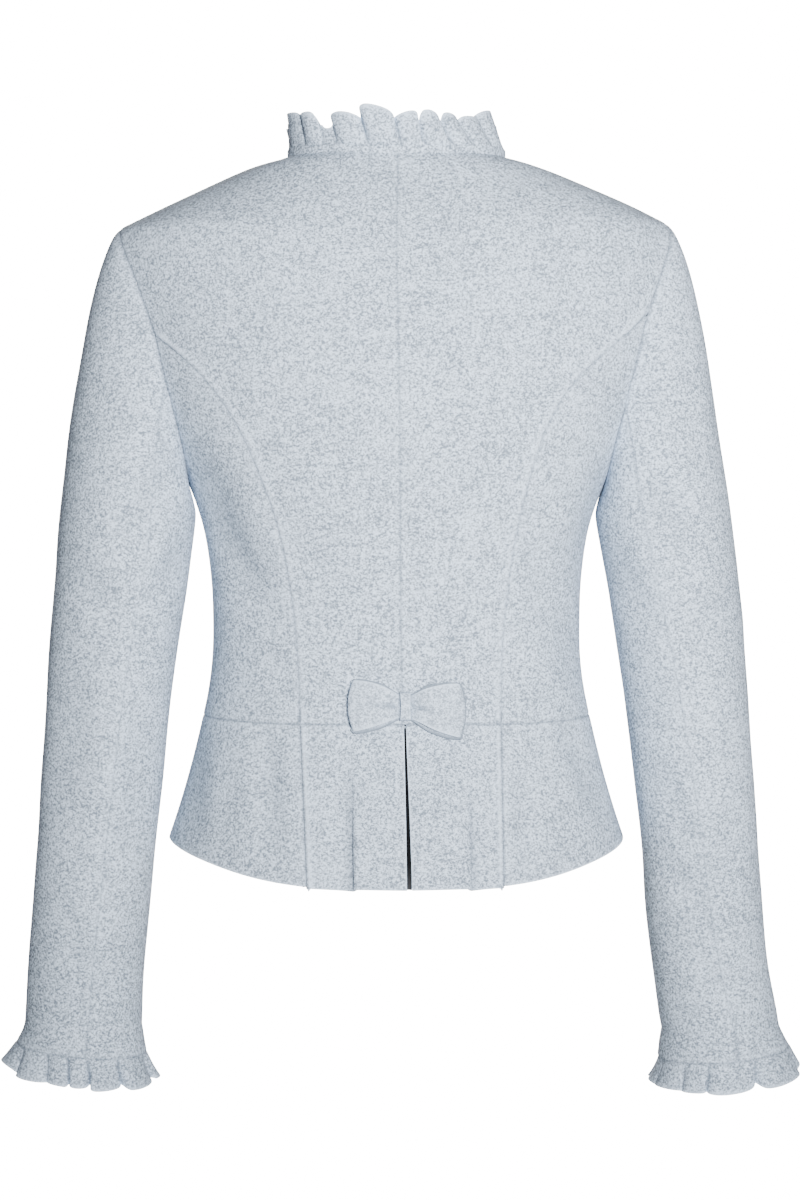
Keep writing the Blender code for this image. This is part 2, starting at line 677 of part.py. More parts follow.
def peplum_grid(top_edge, left_of, right_of):
    """Grid from the waist seam down to the hem between two side edges given by level."""
    columns = len(top_edge) - 1
    grid = np.zeros((PEPLUM_ROWS + 1, columns + 1, 2))
    shares = [(angle - top_edge[0][0]) / (top_edge[-1][0] - top_edge[0][0]) for angle, _ in top_edge]
    for i in range(PEPLUM_ROWS + 1):
        t = i / PEPLUM_ROWS
        for j, share in enumerate(shares):
            angle = top_edge[j][0]
            for _ in range(4):
                level = WAIST_LEVEL(angle) * (1 - t) + HEM_LEVEL(angle) * t
                angle = left_of(level) * (1 - share) + right_of(level) * share
            grid[i, j] = angle, level
    grid[0] = top_edge
    return grid


def slit_angle(side, level):
    """Angle of one edge of the slit, which opens towards the hem."""
    t = (level - WAIST_LEVEL(0)) / (HEM_LEVEL(0) - WAIST_LEVEL(0))
    t = min(max(t, 0), 1)
    half = SLIT_HALF_TOP + (SLIT_HALF_HEM - SLIT_HALF_TOP) * t
    out = SLIT_OUT_TOP + (SLIT_OUT_HEM - SLIT_OUT_TOP) * t
    return angle_at(half + SIDE_SIGN[side] * out, level)


def make_peplum_back(side):
    """Middle back peplum from the slit to the back seam, with its pressed fold."""
    end = panel_seam(side)[-1][0]
    fold = angle_at(PEPLUM_FOLD[side].out, WAIST_LEVEL(0))
    width = PEPLUM_FOLD[side].width / BODY_BACK(WAIST_LEVEL(0))
    start = slit_angle(side, WAIST_LEVEL(0))
    angles = steps_between(start, fold - width, 3)
    angles += steps_between(fold - width, fold + 1.4 * width, 4)[1:]
    angles += steps_between(fold + 1.4 * width, end, 2)[1:]
    top = [(angle, WAIST_LEVEL(angle)) for angle in angles]
    grid = peplum_grid(
        top, lambda level: slit_angle(side, level), lambda level: back_seam_point(side, level)[0]
    )
    return body_wall("peplum_back_" + side, grid, side, relief=peplum_relief(side))


def make_peplum_side(side):
    """Side peplum from the back seam to the side seam."""
    top = waist_edge(panel_seam(side)[-1][0], math.pi / 2, 6)
    grid = peplum_grid(
        top, lambda level: back_seam_point(side, level)[0], lambda level: math.pi / 2
    )
    return body_wall("peplum_side_" + side, grid, side)


def make_peplum_front(side):
    """Front peplum from the side seam past the middle front."""
    top = wrap_edge(math.pi / 2, WAIST_LEVEL, 6)
    grid = peplum_grid(
        top,
        lambda level: math.pi / 2,
        lambda level: angle_at(-WRAP_PAST_MIDDLE, level, front=True),
    )
    return body_wall("peplum_front_" + side, grid, side, wrap_drop(side, 6))


# ---- sleeves ----

class Sleeve:
    """Form of one sleeve, in its own half's coordinates."""

    def __init__(self, side):
        self.side = side
        self.middle_out = table_curve(SLEEVE_SLICES, "level", side)
        self.middle_back = table_curve(SLEEVE_SLICES, "level", "back")
        self.half_width = table_curve(SLEEVE_SLICES, "level", "half_width")
        self.half_depth = table_curve(SLEEVE_SLICES, "level", "half_depth")
        self.seam_turn = table_curve(SLEEVE_SLICES, "level", "seam_" + side, value_unit=1)
        self.seam_start = SLEEVE_BACK_SEAM_TURN[side]
        upper, lower, front_lower, front_upper = armhole_turns(side)
        self.turns = upper[:-1] + lower[:-1] + front_lower[:-1] + front_upper[:-1]
        self.back_column = len(upper) - 1 + 2
        self.front_column = len(upper) - 1 + len(lower) - 1 + 3
        self.top_level = SLEEVE_SLICES[0].level * MM
        self.end_level = SLEEVE_END[side]

    def slice_turn(self, turn, level):
        """Turn of a column on a slice, bent so that the back seam runs where its table says."""
        seam = self.seam_turn(level)
        if turn <= self.seam_start:
            return turn * seam / self.seam_start
        share = (turn - self.seam_start) / (360 - self.seam_start)
        return seam + share * (360 - seam)

    def slice_point(self, turn, level):
        """Point on the slice at a level; lower slices tilt with the forearm."""
        angle = math.radians(self.slice_turn(turn, level))
        out = self.half_width(level) * math.cos(angle)
        back = self.half_depth(level) * math.sin(angle)
        tilt = smooth((self.top_level - level) / (self.top_level - self.end_level))
        drop = tilt * (CUFF_TILT_BACK * back - CUFF_TILT_OUT * out)
        return np.array([self.middle_out(level) + out, self.middle_back(level) + back, level - drop])

    def ring(self, level):
        """All points of one slice."""
        return np.array([self.slice_point(turn, level) for turn in self.turns])

    def armhole_frame(self):
        """Points of the armhole seam, the body's outward directions there and the way out."""
        points, normals = [], []
        for turn in self.turns:
            angle, level = armhole(self.side, turn)
            shift = np.array([SIDE_SIGN[self.side] * SHIFT_OUT(level), 0, 0])
            points.append(body_point(angle, level) + shift)
            normals.append(body_normal(angle, level))
        points, normals = np.array(points), np.array(normals)
        centre = points.mean(axis=0)
        ways = []
        for i in range(len(points)):
            along = points[(i + 1) % len(points)] - points[i - 1]
            way = unit(np.cross(normals[i], along))
            if np.dot(way, centre - points[i]) < 0:
                way = -way
            ways.append(way)
        return points, normals, np.array(ways)

    def head(self):
        """Rows from the armhole down to the first slice, each column a smooth sweep."""
        points, normals, ways = self.armhole_frame()
        end = self.ring(self.top_level)
        below = self.ring(self.top_level - 10 * MM)
        rows = []
        for step in HEAD_STEPS:
            row = []
            for k, turn in enumerate(self.turns):
                swing, lift = math.sin(math.radians(turn)), math.cos(math.radians(turn))
                start_way = unit(np.array([0.55 + 0.35 * lift, 0.22 * swing, 0.29 * lift - 0.71]))
                start = points[k] + np.array([SEAM_GAP, 0, 0])
                length = np.linalg.norm(end[k] - start)
                end_way = unit(below[k] - end[k])
                t = step
                row.append(
                    start * (2 * t**3 - 3 * t**2 + 1)
                    + end[k] * (3 * t**2 - 2 * t**3)
                    + start_way * 0.3 * length * (t**3 - 2 * t**2 + t)
                    + end_way * 0.9 * length * (t**3 - t**2)
                )
            rows.append(row)
        return np.array(rows), normals, ways

    def walls(self):
        """Outer and inner points of the whole sleeve, from the armhole to the cuff seam."""
        head, body_normals, ways = self.head()
        levels = steps_between(self.top_level, self.end_level, SLEEVE_ROWS)[1:]
        outer = np.concatenate([head, np.array([self.ring(level) for level in levels])])
        normals = grid_normals(outer, closed=True)
        if np.dot(normals[-1, 0], np.array([1, 0, 0])) < 0:
            normals = -normals
        for k in range(outer.shape[1]):
            lean = np.dot(normals[0, k], ways[k])
            if lean > 0:
                normals[0, k] = unit(normals[0, k] - lean * ways[k])
        return outer, outer - normals * WALL, normals


def split_columns(grid, start, end):
    """Columns from start to end, going past the last one to the first where end is smaller."""
    count = grid.shape[1]
    if end > start:
        return grid[:, start:end + 1]
    picked = [k % count for k in range(start, end + count + 1)]
    return grid[:, picked]


def make_sleeve(side):
    """The two pieces of a sleeve, the cuff band and the frill below it."""
    sleeve = Sleeve(side)
    outer, inner, normals = sleeve.walls()
    mirror = np.array([SIDE_SIGN[side], 1, 1])
    spans = {
        "sleeve_under_": (sleeve.back_column, sleeve.front_column),
        "sleeve_top_": (sleeve.front_column, sleeve.back_column),
    }
    for name, (start, end) in spans.items():
        piece = split_columns(outer, start, end)
        piece_normals = split_columns(normals, start, end)
        shift = np.zeros_like(piece)
        shift[:, 0] = edge_inset(piece[:, 0], piece_normals[:, 0], piece[:, 1])
        shift[:, -1] = edge_inset(piece[:, -1], piece_normals[:, -1], piece[:, -2])
        piece_outer = piece + shift
        piece_inner = split_columns(inner, start, end) + shift
        mesh = wall_mesh(name + side, piece_outer * mirror, piece_inner * mirror)
        add_object(name + side, mesh, "loden")
    make_cuff(side, sleeve, normals[-1])


def make_cuff(side, sleeve, end_normals):
    """Cuff band and frill, continuing the sleeve."""
    mirror = np.array([SIDE_SIGN[side], 1, 1])
    top, bottom = sleeve.end_level, sleeve.end_level - CUFF_HEIGHT
    gap = np.array([0, 0, SEAM_GAP])
    rows = [sleeve.ring(level) for level in steps_between(top, bottom, 1)]
    rows[0] = rows[0] - gap
    outer = np.array(rows)
    normals = np.array([end_normals, grid_normals(outer, closed=True)[1]])
    if np.dot(normals[1, 0], np.array([1, 0, 0])) < 0:
        normals[1] = -normals[1]
    inner = outer - normals * WALL
    add_object("cuff_band_" + side,
               wall_mesh("cuff_band_" + side, outer * mirror, inner * mirror, closed=True), "loden")
    base = outer[-1] - gap
    down = np.array([unit(outer[1, k] - outer[0, k]) for k in range(outer.shape[1])])
    along = np.array([unit(base[(k + 1) % len(base)] - base[k - 1]) for k in range(len(base))])
    make_frill("cuff_frill_" + side, CUFF_FRILLS[side], mirror, base, down, normals[1], along)


# ---- frills ----

def between(points, each, closed):
    """Points on the straight lines between given ones, a number of them on each line."""
    count = len(points) if closed else len(points) - 1
    fine = []
    for i in range(count):
        start, end = points[i], points[(i + 1) % len(points)]
        fine += [start + (end - start) * k / each for k in range(each)]
    if not closed:
        fine.append(points[-1])
    return np.array(fine)


def through_gather(gathers, place):
    """How far from valley to valley of its gather a place on the seam lies."""
    shares = np.array([gather.width for gather in gathers], float)
    shares /= shares.sum()
    ends = np.cumsum(shares)
    i = min(int(np.searchsorted(ends, place)), len(gathers) - 1)
    return min(max(1 - (ends[i] - place) / shares[i], 0), 1)


def blended(gathers, place, column):
    """One column of the gathers' table, blended from the middle of one gather to the next, or for
    the dips from valley to valley."""
    shares = np.array([gather.width for gather in gathers], float)
    shares /= shares.sum()
    values = [getattr(gather, column) for gather in gathers]
    known_at = np.cumsum(shares) - shares * (1 if column == "dip" else 0.5)
    return float(np.interp(place, known_at, values, period=1))


def make_frill(name, frill, mirror, base, way, outward, drift):
    """Gathered strip that grows out of a seam in waves, worked out from its table of gathers."""
    base, way, outward, drift = (
        between(rows, frill.columns, frill.closed) for rows in (base, way, outward, drift)
    )
    count = len(base)
    lengths = np.linalg.norm(np.roll(base, -1, axis=0) - base, axis=1)
    if not frill.closed:
        lengths = lengths[:-1]
    starts = np.concatenate([[0], np.cumsum(lengths)]) / lengths.sum()
    outer = np.zeros((len(FRILL_STEPS), count, 3))
    for k in range(count):
        place = starts[k] - frill.start
        if frill.closed:
            place %= 1
        width, reach, rise, dip, lean, tilt = (
            blended(frill.gathers, place, column) for column in Gather._fields
        )
        through = through_gather(frill.gathers, place)
        crest = math.sin(math.pi * through) ** 0.8
        after, before = (k + 1) % count, k - 1
        if not frill.closed:
            after, before = min(k + 1, count - 1), max(k - 1, 0)
        along = unit(base[after] - base[before])
        length = frill.height + (rise * crest - dip * (1 - crest)) * MM
        up, out, last = 0.0, 0.0, 0.0
        for i, step in enumerate(FRILL_STEPS):
            turned = math.radians(tilt * frill.tilted) * (0.4 + 0.4 * (step + last))
            up += length * (step - last) * math.cos(turned)
            out += length * (step - last) * math.sin(turned)
            last = step
            wave = reach * MM * (crest - 0.55) * step**0.7
            bulge = -0.1 * width * MM * math.sin(2 * math.pi * through) * step
            outer[i, k] = (
                base[k] + way[k] * up + outward[k] * (out + wave)
                + drift[k] * lean * MM * step + along * bulge
            )
    normals = grid_normals(outer, frill.closed)
    if np.sum(normals[1] * outward) < 0:
        normals = -normals
    normals[0] = outward / np.linalg.norm(outward, axis=1)[:, None]
    inner = outer - normals * FRILL_WALL
    mesh = wall_mesh(name, outer * mirror, inner * mirror, frill.closed)
    return add_object(name, mesh, "loden")


# ---- collar ----

def neck_points():
    """Neckline from the left middle front round the back to the right middle front."""
    end = angle_at(1 * MM, neckline(math.pi)[1], front=True)
    front = angle_at(WRAP_COLUMNS[0], neckline(math.pi)[1], front=True)
    middle = angle_at(WRAP_COLUMNS[1], neckline(math.pi)[1], front=True)
    half = steps_between(0, math.pi / 2, BACK_COLUMNS)
    half += steps_between(math.pi / 2, front, FRONT_COLUMNS)[1:] + [middle, end]
    points = []
    for angle in half:
        point = body_point(*neckline(angle))
        points.append(point)
    mirror = np.array([-1, 1, 1])
    left = np.array(points[::-1])
    right = np.array(points[1:]) * mirror
    return np.concatenate([left, right])


def make_collar():
    """Narrow neck band on the neckline and the gathered frill that stands on it."""
    line = neck_points()
    outward = line * np.array([1, 1, 0])
    outward /= np.linalg.norm(outward, axis=1)[:, None]
    up = np.array([0, 0, 1.0])
    outer = np.array([line + up * SEAM_GAP * 1.5, line + up * COLLAR_BAND])
    inner = outer - outward * WALL
    add_object("neck_band", wall_mesh("neck_band", outer, inner), "loden")
    base = outer[1] + up * SEAM_GAP
    ways = np.tile(up, (len(line), 1))
    to_the_left = np.tile(np.array([1.0, 0, 0]), (len(line), 1))
    make_frill("collar_frill", COLLAR_FRILL, np.ones(3), base, ways, outward, to_the_left)


# ---- bow ----

def on_back(out, level, lift):
    """Point above the back at a place from the middle, on either side."""
    side = "left" if out >= 0 else "right"
    angle = angle_at(abs(out), level)
    raised = peplum_relief(side)(angle, level) if level < WAIST_LEVEL(0) else 0.0
    point = body_point(angle, level) + body_normal(angle, level) * (raised + lift)
    return point * np.array([1 if out >= 0 else -1, 1, 1])


def bow_path():
    """Stations of the ribbon all round both loops: place, middle of the wall, half height."""
    near = CLEARANCE + BOW_WALL / 2
    loop = [(s.out * MM, near + BOW_WALL + s.opening * MM, s.half_height * MM)
            for s in BOW_STATIONS]
    tall = BOW_STATIONS[-1].half_height * MM
    fold_height = near + (BOW_WALL + BOW_STATIONS[-1].opening * MM) / 2
    left = loop + [(BOW_FOLD_OUT, fold_height, tall)]
    back = [(out, near, half) for out, _, half in loop]
    right = [(-out, lift, half) for out, lift, half in left]
    right_back = [(-out, lift, half) for out, lift, half in back]
    return left + back[::-1] + right_back + right[::-1]


def make_bow():
    """Flat bow of folded cloth: one band round both loops, pinched in the middle."""
    path = bow_path()
    count = len(path)
    outer, inner = [], []
    for share in (-1, -0.5, 0, 0.5, 1):
        outer_row, inner_row = [], []
        for i, (out, lift, half) in enumerate(path):
            before, after = path[i - 1], path[(i + 1) % count]
            along = unit(np.array([after[0] - before[0], after[1] - before[1]]))
            across = np.array([along[1], -along[0]])
            level = BOW_LEVEL + share * half + BOW_SLANT * out
            for row, way in ((outer_row, -1), (inner_row, 1)):
                place = np.array([out, lift]) + across * way * BOW_WALL / 2
                row.append(on_back(place[0] + BOW_OUT, level, max(place[1], CLEARANCE)))
        outer.append(outer_row)
        inner.append(inner_row)
    mesh = wall_mesh("bow", np.array(outer), np.array(inner), closed=True)
    add_object("bow", mesh, "loden")


def make_knot():
    """Short strap that wraps the bow's pinched middle and ends at the back on both edges."""
    stations = [(1, station) for station in KNOT_STATIONS]
    stations += [(-1, station) for station in KNOT_STATIONS[-2::-1]]
    outer, inner = [], []
    for share in (-1, -0.4, 0.4, 1):
        out = share * KNOT_HALF_WIDTH + BOW_OUT
        outer.append([
            on_back(out, BOW_LEVEL + sign * station.outer_height * MM, station.outer_lift * MM)
            for sign, station in stations
        ])
        inner.append([
            on_back(out, BOW_LEVEL + sign * station.inner_height * MM, station.inner_lift * MM)
            for sign, station in stations
        ])
    mesh = wall_mesh("bow_knot", np.array(outer), np.array(inner))
    add_object("bow_knot", mesh, "loden")


# ---- buttons ----

def make_button(number, level):
    """Plain domed button, turned from its profile and set on the front's middle line."""
    profile = [
        (0, 1.0), (0.45, 0.96), (0.8, 0.76), (0.97, 0.42), (1.0, 0.2), (0.93, 0.0), (0, 0.0),
    ]
    name = "button_%d" % number
    mesh = bpy.data.meshes.new(name)
    points = [(r * BUTTON_RADIUS, 0, h * BUTTON_HEIGHT) for r, h in profile]
    mesh.from_pydata(points, [(i, i + 1) for i in range(len(points) - 1)], [])
    button = add_object(name, mesh, "button")
    screw = button.modifiers.new("turn", "SCREW")
    screw.steps = screw.render_steps = 14
    screw.use_merge_vertices = True
    screw.merge_threshold = 0.00001
    point, normal = body_point(math.pi, level), body_normal(math.pi, level)
    button.location = point + normal * 2 * CLEARANCE
    tilt = math.atan2(-normal[1], normal[2])
    button.rotation_euler = (tilt, 0, 0)


def main():
    """Clear the scene and build the jacket."""
    for thing in list(bpy.data.objects):
        bpy.data.objects.remove(thing, do_unlink=True)
    collection = bpy.data.collections.new("tyrolean_jacket")
    bpy.context.scene.collection.children.link(collection)
    for side in ("left", "right"):
        make_back(side)
        make_side_back(side)
        make_side_front(side)
        make_front(side)
        make_peplum_back(side)
        make_peplum_side(side)
        make_peplum_front(side)
        make_sleeve(side)
    make_collar()
    make_bow()
    make_knot()
    for number, level in enumerate(BUTTON_LEVELS, start=1):
        make_button(number, level * MM)


main()
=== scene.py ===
"""Tyrolean loden jacket: the finish of its cloth, seams, creases, frills, bow and buttons.

Every cloth piece is a thin shell on the form of its own solid. It is refined, pressed in along
its seams, creased from the tables below, and given its thickness. Tables are in
millimetres, in the part's own frame: x to the wearer's left, y to the back, z up.
"""

import math
from collections import namedtuple
from contextlib import contextmanager

import bmesh
import bpy
import numpy as np
from mathutils import Matrix, Vector, noise
from mathutils.kdtree import KDTree


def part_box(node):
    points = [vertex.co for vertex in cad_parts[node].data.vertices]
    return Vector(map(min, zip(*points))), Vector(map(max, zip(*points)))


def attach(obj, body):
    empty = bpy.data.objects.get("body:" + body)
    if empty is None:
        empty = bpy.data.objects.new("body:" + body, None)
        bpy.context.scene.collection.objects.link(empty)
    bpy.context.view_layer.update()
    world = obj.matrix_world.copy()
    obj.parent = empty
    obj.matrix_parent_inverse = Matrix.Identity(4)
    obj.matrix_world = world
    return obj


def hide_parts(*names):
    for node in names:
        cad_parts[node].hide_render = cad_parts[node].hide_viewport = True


MM = 0.001
CLOTH_THICK = 2.2 * MM
FRILL_THICK = 1.7 * MM
BUTTON_RADIUS = 9.5 * MM
BUTTON_HEIGHT = 4.2 * MM
# Rings turned into a button's face: how far each lies inside the one before, and how far above.
BUTTON_TURNING = ((1.7, 0.0), (0.8, -0.9), (1.6, 0.5), (2.0, 0.5), (1.8, 0.15))
RIM_ANGLE = math.radians(52)     # a wall's rim stands at more than this to its face
CORNER_ANGLE = math.radians(38)  # an edge that turns by more than this has a corner there
WALL_ANGLE = math.radians(50)    # a wall's edge is rounded where it is sharper than this
SMOOTH_ANGLE = math.radians(60)  # and the cloth looks smooth over less than this
FREE_ROUND = 0.6 * MM            # how round the free edges of the cloth are
SEWN_ROUND = 0.25                # share of that on sewn edges
SEAM_STRIP = 4.2 * MM            # the strip along each edge that is refined for the seam
SEAM_REACH = 14 * MM             # how far from a seam its pressing shows
SEAM_GAP = 2.6 * MM              # edges nearer than this are sewn together
SEAM_TURN = 4 * MM               # how far from a seam its two sides share a normal

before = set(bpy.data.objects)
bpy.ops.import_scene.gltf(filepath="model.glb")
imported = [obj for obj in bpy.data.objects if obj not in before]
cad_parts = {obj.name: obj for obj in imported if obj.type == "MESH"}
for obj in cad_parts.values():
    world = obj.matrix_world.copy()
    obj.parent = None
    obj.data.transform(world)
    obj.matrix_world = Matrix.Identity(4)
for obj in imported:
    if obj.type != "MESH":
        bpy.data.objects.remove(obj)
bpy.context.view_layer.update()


# ---------------------------------------------------------------- tables

# One cloth piece: its node, the flat cut of what shows (mm), that cut's area (square mm),
# and how many times its mesh is refined.
Sheet = namedtuple("Sheet", "node width length area levels")
SHEETS = [Sheet(*row) for row in (
    ("back_left", 205, 430, 60000, 3), ("back_right", 205, 430, 57000, 3),
    ("side_back_left", 100, 320, 24000, 2), ("side_back_right", 105, 320, 27000, 2),
)]
for name, *cut in (
    ("side_front", 115, 330, 27500, 2), ("front", 205, 430, 62000, 2),
    ("peplum_back", 80, 125, 8600, 4), ("peplum_side", 115, 155, 14600, 3),
    ("peplum_front", 190, 170, 25700, 2), ("sleeve_top", 240, 610, 102000, 3),
    ("sleeve_under", 105, 520, 43000, 2), ("cuff_band", 285, 21, 5900, 3),
):
    SHEETS += [Sheet(name + side, *cut) for side in ("_left", "_right")]
SHEETS.append(Sheet("neck_band", 490, 10, 3900, 3))
LINED = ("back", "side", "front", "peplum", "sleeve", "cuff")
# Pieces that lie edge to edge but aren't sewn together: the slit, and the lapped fronts.
UNSEWN = ({"peplum_back_left", "peplum_back_right"}, {"front_left", "front_right"},
          {"peplum_front_left", "peplum_front_right"})

# Gathers of the frills, in order along the seam, from valley to valley: width along the seam, how
# far the fold stands out, how far its top rises above the frill's plain height, how far the valley
# before it dips below that, its lean, how far the frill has turned outwards near its edge
# (degrees), and the share of its width by which it laps over the gather before it.
Gather = namedtuple("Gather", "width reach rise dip lean tilt lap")
COLLAR_GATHERS = [Gather(*row) for row in (
    (24, 6.0, 2.0, 1.0, 0, 14, 0.2), (21, 5.5, 1.0, 2.0, 0, 12, -0.2),
    (27, 6.5, 2.0, 0.5, 0, 12, 0.3), (22, 6.0, 1.5, 3.0, 0, 10, 0.1),
    (26, 6.5, 2.0, 1.0, 0, 8, -0.3), (20, 3.0, 1.5, 2.0, 0, 4, 0.0),
    (18, 1.0, 4.5, 0.0, 0.5, 3, 0.0), (26.5, 4.0, 5.0, -2.5, 2.0, 4, 0.0),
    (18.5, 6.0, 3.8, 0.0, 3.0, 5, -0.1), (11.5, 0.4, -8.0, 5.0, 3.5, 3, 0.0),
    (24.5, 6.5, 3.0, 5.0, 5.5, 6, 0.02),
    (24, 9.0, 8.5, 1.0, 6.0, 6, 0.24), (18.5, 5.5, 4.5, 0.0, 4.5, 5, -0.12),
    (21.5, 8.0, 4.8, 11.0, 9.0, 4, 0.2), (17, 6.5, 3.0, 8.0, 12.0, 3, 0.28),
    (22, 4.5, 1.6, 3.4, 11.5, 2, 0.05), (21.5, 5.0, 7.4, -3.2, 10.5, 0, -0.1),
    (19, 2.0, 3.0, -2.0, 9.0, 0, 0.2), (22, 5.0, 1.5, 2.0, 6.0, 4, -0.2),
    (25, 6.5, 2.0, 1.0, 4.0, 8, 0.3), (22, 6.0, 1.5, 2.5, 2.0, 10, 0.1),
    (26.5, 6.5, 2.0, 1.0, 1.0, 12, -0.2), (22, 5.5, 1.0, 2.0, 0, 12, 0.3),
    (25, 6.0, 2.0, 1.0, 0, 14, 0.1),
)]
LEFT_CUFF_GATHERS = [Gather(*row) for row in (
    (29, 6.5, -5.5, 4.0, 1.5, 22, 0.1), (24, 5.0, 0.5, 1.0, 2.0, 14, 0.05),
    (15, 5.0, 0.5, -0.5, 3.0, 14, -0.3), (14, 5.5, 1.0, 0.5, 3.0, 10, 0.1),
    (22, 7.5, 2.0, 1.5, 3.0, 10, 0.34), (29, 8.0, 2.0, 1.5, 3.0, 14, 0.34),
    (18, 5.5, 0.0, 2.0, 3.0, 20, 0.2), (16, 3.0, 0.5, 0.5, 2.0, 24, 0.0),
    (21, 4.5, 0.5, 1.0, 1.0, 26, -0.2), (18, 6.0, 1.0, 0.5, 1.0, 22, 0.2),
    (17, 5.5, 0.5, 1.0, 1.0, 20, -0.3), (19, 6.0, 1.0, 0.5, 1.0, 22, 0.2),
    (17, 5.5, 0.5, 1.0, 1.0, 20, 0.1), (17, 5.0, 1.0, 0.5, 1.0, 18, 0.0),
)]
RIGHT_CUFF_GATHERS = [Gather(*row) for row in (
    (22.5, 5.0, -4.5, 3.0, 1.5, 5, 0.1), (42, 7.0, 0.5, 1.0, 2.0, 13, -0.28),
    (34, 6.5, 2.0, 3.0, 3.0, 12, -0.1), (18, 4.0, 1.0, -0.5, 3.0, 10, 0.2),
    (25, 2.5, 0.0, -0.5, 3.0, 20, 0.0), (20, 1.5, 0.0, -0.5, 3.0, 26, 0.0),
    (20, 2.5, 1.0, 0.5, 2.0, 28, 0.0), (21, 5.5, 0.5, 1.0, 1.0, 30, -0.2),
    (18, 6.0, 1.0, 0.5, 1.0, 26, 0.2), (17, 5.5, 0.5, 1.0, 1.0, 22, -0.3),
    (21, 6.0, 1.0, 0.5, 1.0, 18, 0.2), (19.5, 3.0, -3.0, 2.5, 1.0, 8, 0.1),
)]
# A frill: its node, the band it is sewn to, its gathers, its plain height, where its first gather
# starts (share of the seam), its share of the table's tilt, and the flat strip it is gathered from.
Frill = namedtuple("Frill", "node band gathers height start tilted width length area")
FRILLS = (
    Frill("collar_frill", "neck_band", COLLAR_GATHERS, 20, 0, 1, 700, 22, 14500),
    Frill("cuff_frill_left", "cuff_band_left", LEFT_CUFF_GATHERS, 20.5, -0.035, 1, 420, 21, 8600),
    Frill("cuff_frill_right", "cuff_band_right", RIGHT_CUFF_GATHERS, 20.5, -0.06, 0.9, 400, 21,
          8200),
)
FRILL_COLUMN = 1.0 * MM          # distance between the frill's columns of points
FRILL_ROWS = 22
FRILL_INSET = 3.3 * MM           # how far the valleys lie behind the seam
FRILL_ALLOWANCE = (2.4 * MM, 1.0 * MM)  # how far it runs on behind its band, and how deep
FRILL_EVEN = 12                  # over how many columns either way its ways are evened
FRILL_CREST = 0.85               # the lower, the flatter is the top of a fold
FRILL_OPEN = 0.38                # the lower, the nearer to the seam do the folds open
PUCKERS = (1.6 * MM, 0.7 * MM)   # size and height of the small puckers along the seam
FRILL_LINE = 0.8                 # width of the dark line at the seam (mm), painted shade and matted seam, and how dark it is on the cuffs and on the collar
FRILL_DARK, COLLAR_DARK = 0.6, 0.1  # the cuffs and on the collar
FRILL_HIGHLIGHT = 1.7                  # width of the painted highlight along the free edge (mm)
# How the hems hang at the middle: of which pieces, how far they are raised, and how wide that is.
HEM_SETS = (("peplum_front", 4.0 * MM, 0.06), ("peplum_back", -1.4 * MM, 0.12))
HEM_UP = 0.04                    # how far above the hem that ends
CUFF_FLARE = (7.0 * MM, 0.75)    # how far a cuff stands out on its outer side, over what turn
EDGE_CALM = 0.012                # within this of its edge a piece lies calmer
UNEVEN_SIZE, UNEVEN_HEIGHT = 0.055, 0.9 * MM  # soft unevenness of worn cloth: its waves
EDGE_HIGHLIGHT = 1.1 * MM              # width of the painted highlight along a free edge
# Painted shade in the hollows of the folds: over how many rounds of averaging they are found, how
# far one is sunk below its surroundings where its painted shade is darkest, and how dark it is
# there.
HOLLOW_SHADE = ((14, 0.4 * MM, 0.75), (80, 2.2 * MM, 0.5))

# The middle of the left sleeve's hollow, from the wrist up: z, x and y (metres).
SLEEVE_MIDDLE = ((-0.65, 0.228, -0.041), (-0.54, 0.221, -0.023), (-0.41, 0.209, -0.0025),
                 (-0.30, 0.199, 0.003), (-0.15, 0.180, 0.003))
BODY_MIDDLE = -0.004             # y of the middle of the body's hollow

# The seam across the back of each cuff band: (x, z) at its top and at its bottom.
BAND_SEAMS = {"cuff_band_left": ((221.8, -627.5), (223.4, -644.5)),
              "cuff_band_right": ((-243.2, -627.5), (-246.0, -643.0))}
# How deep the band's seam is pressed, and how dark its line is: painted shade of the groove with
# the matted seam.
BAND_SEAM_DEPTH, BAND_SEAM_DARK = 0.25 * MM, 0.75
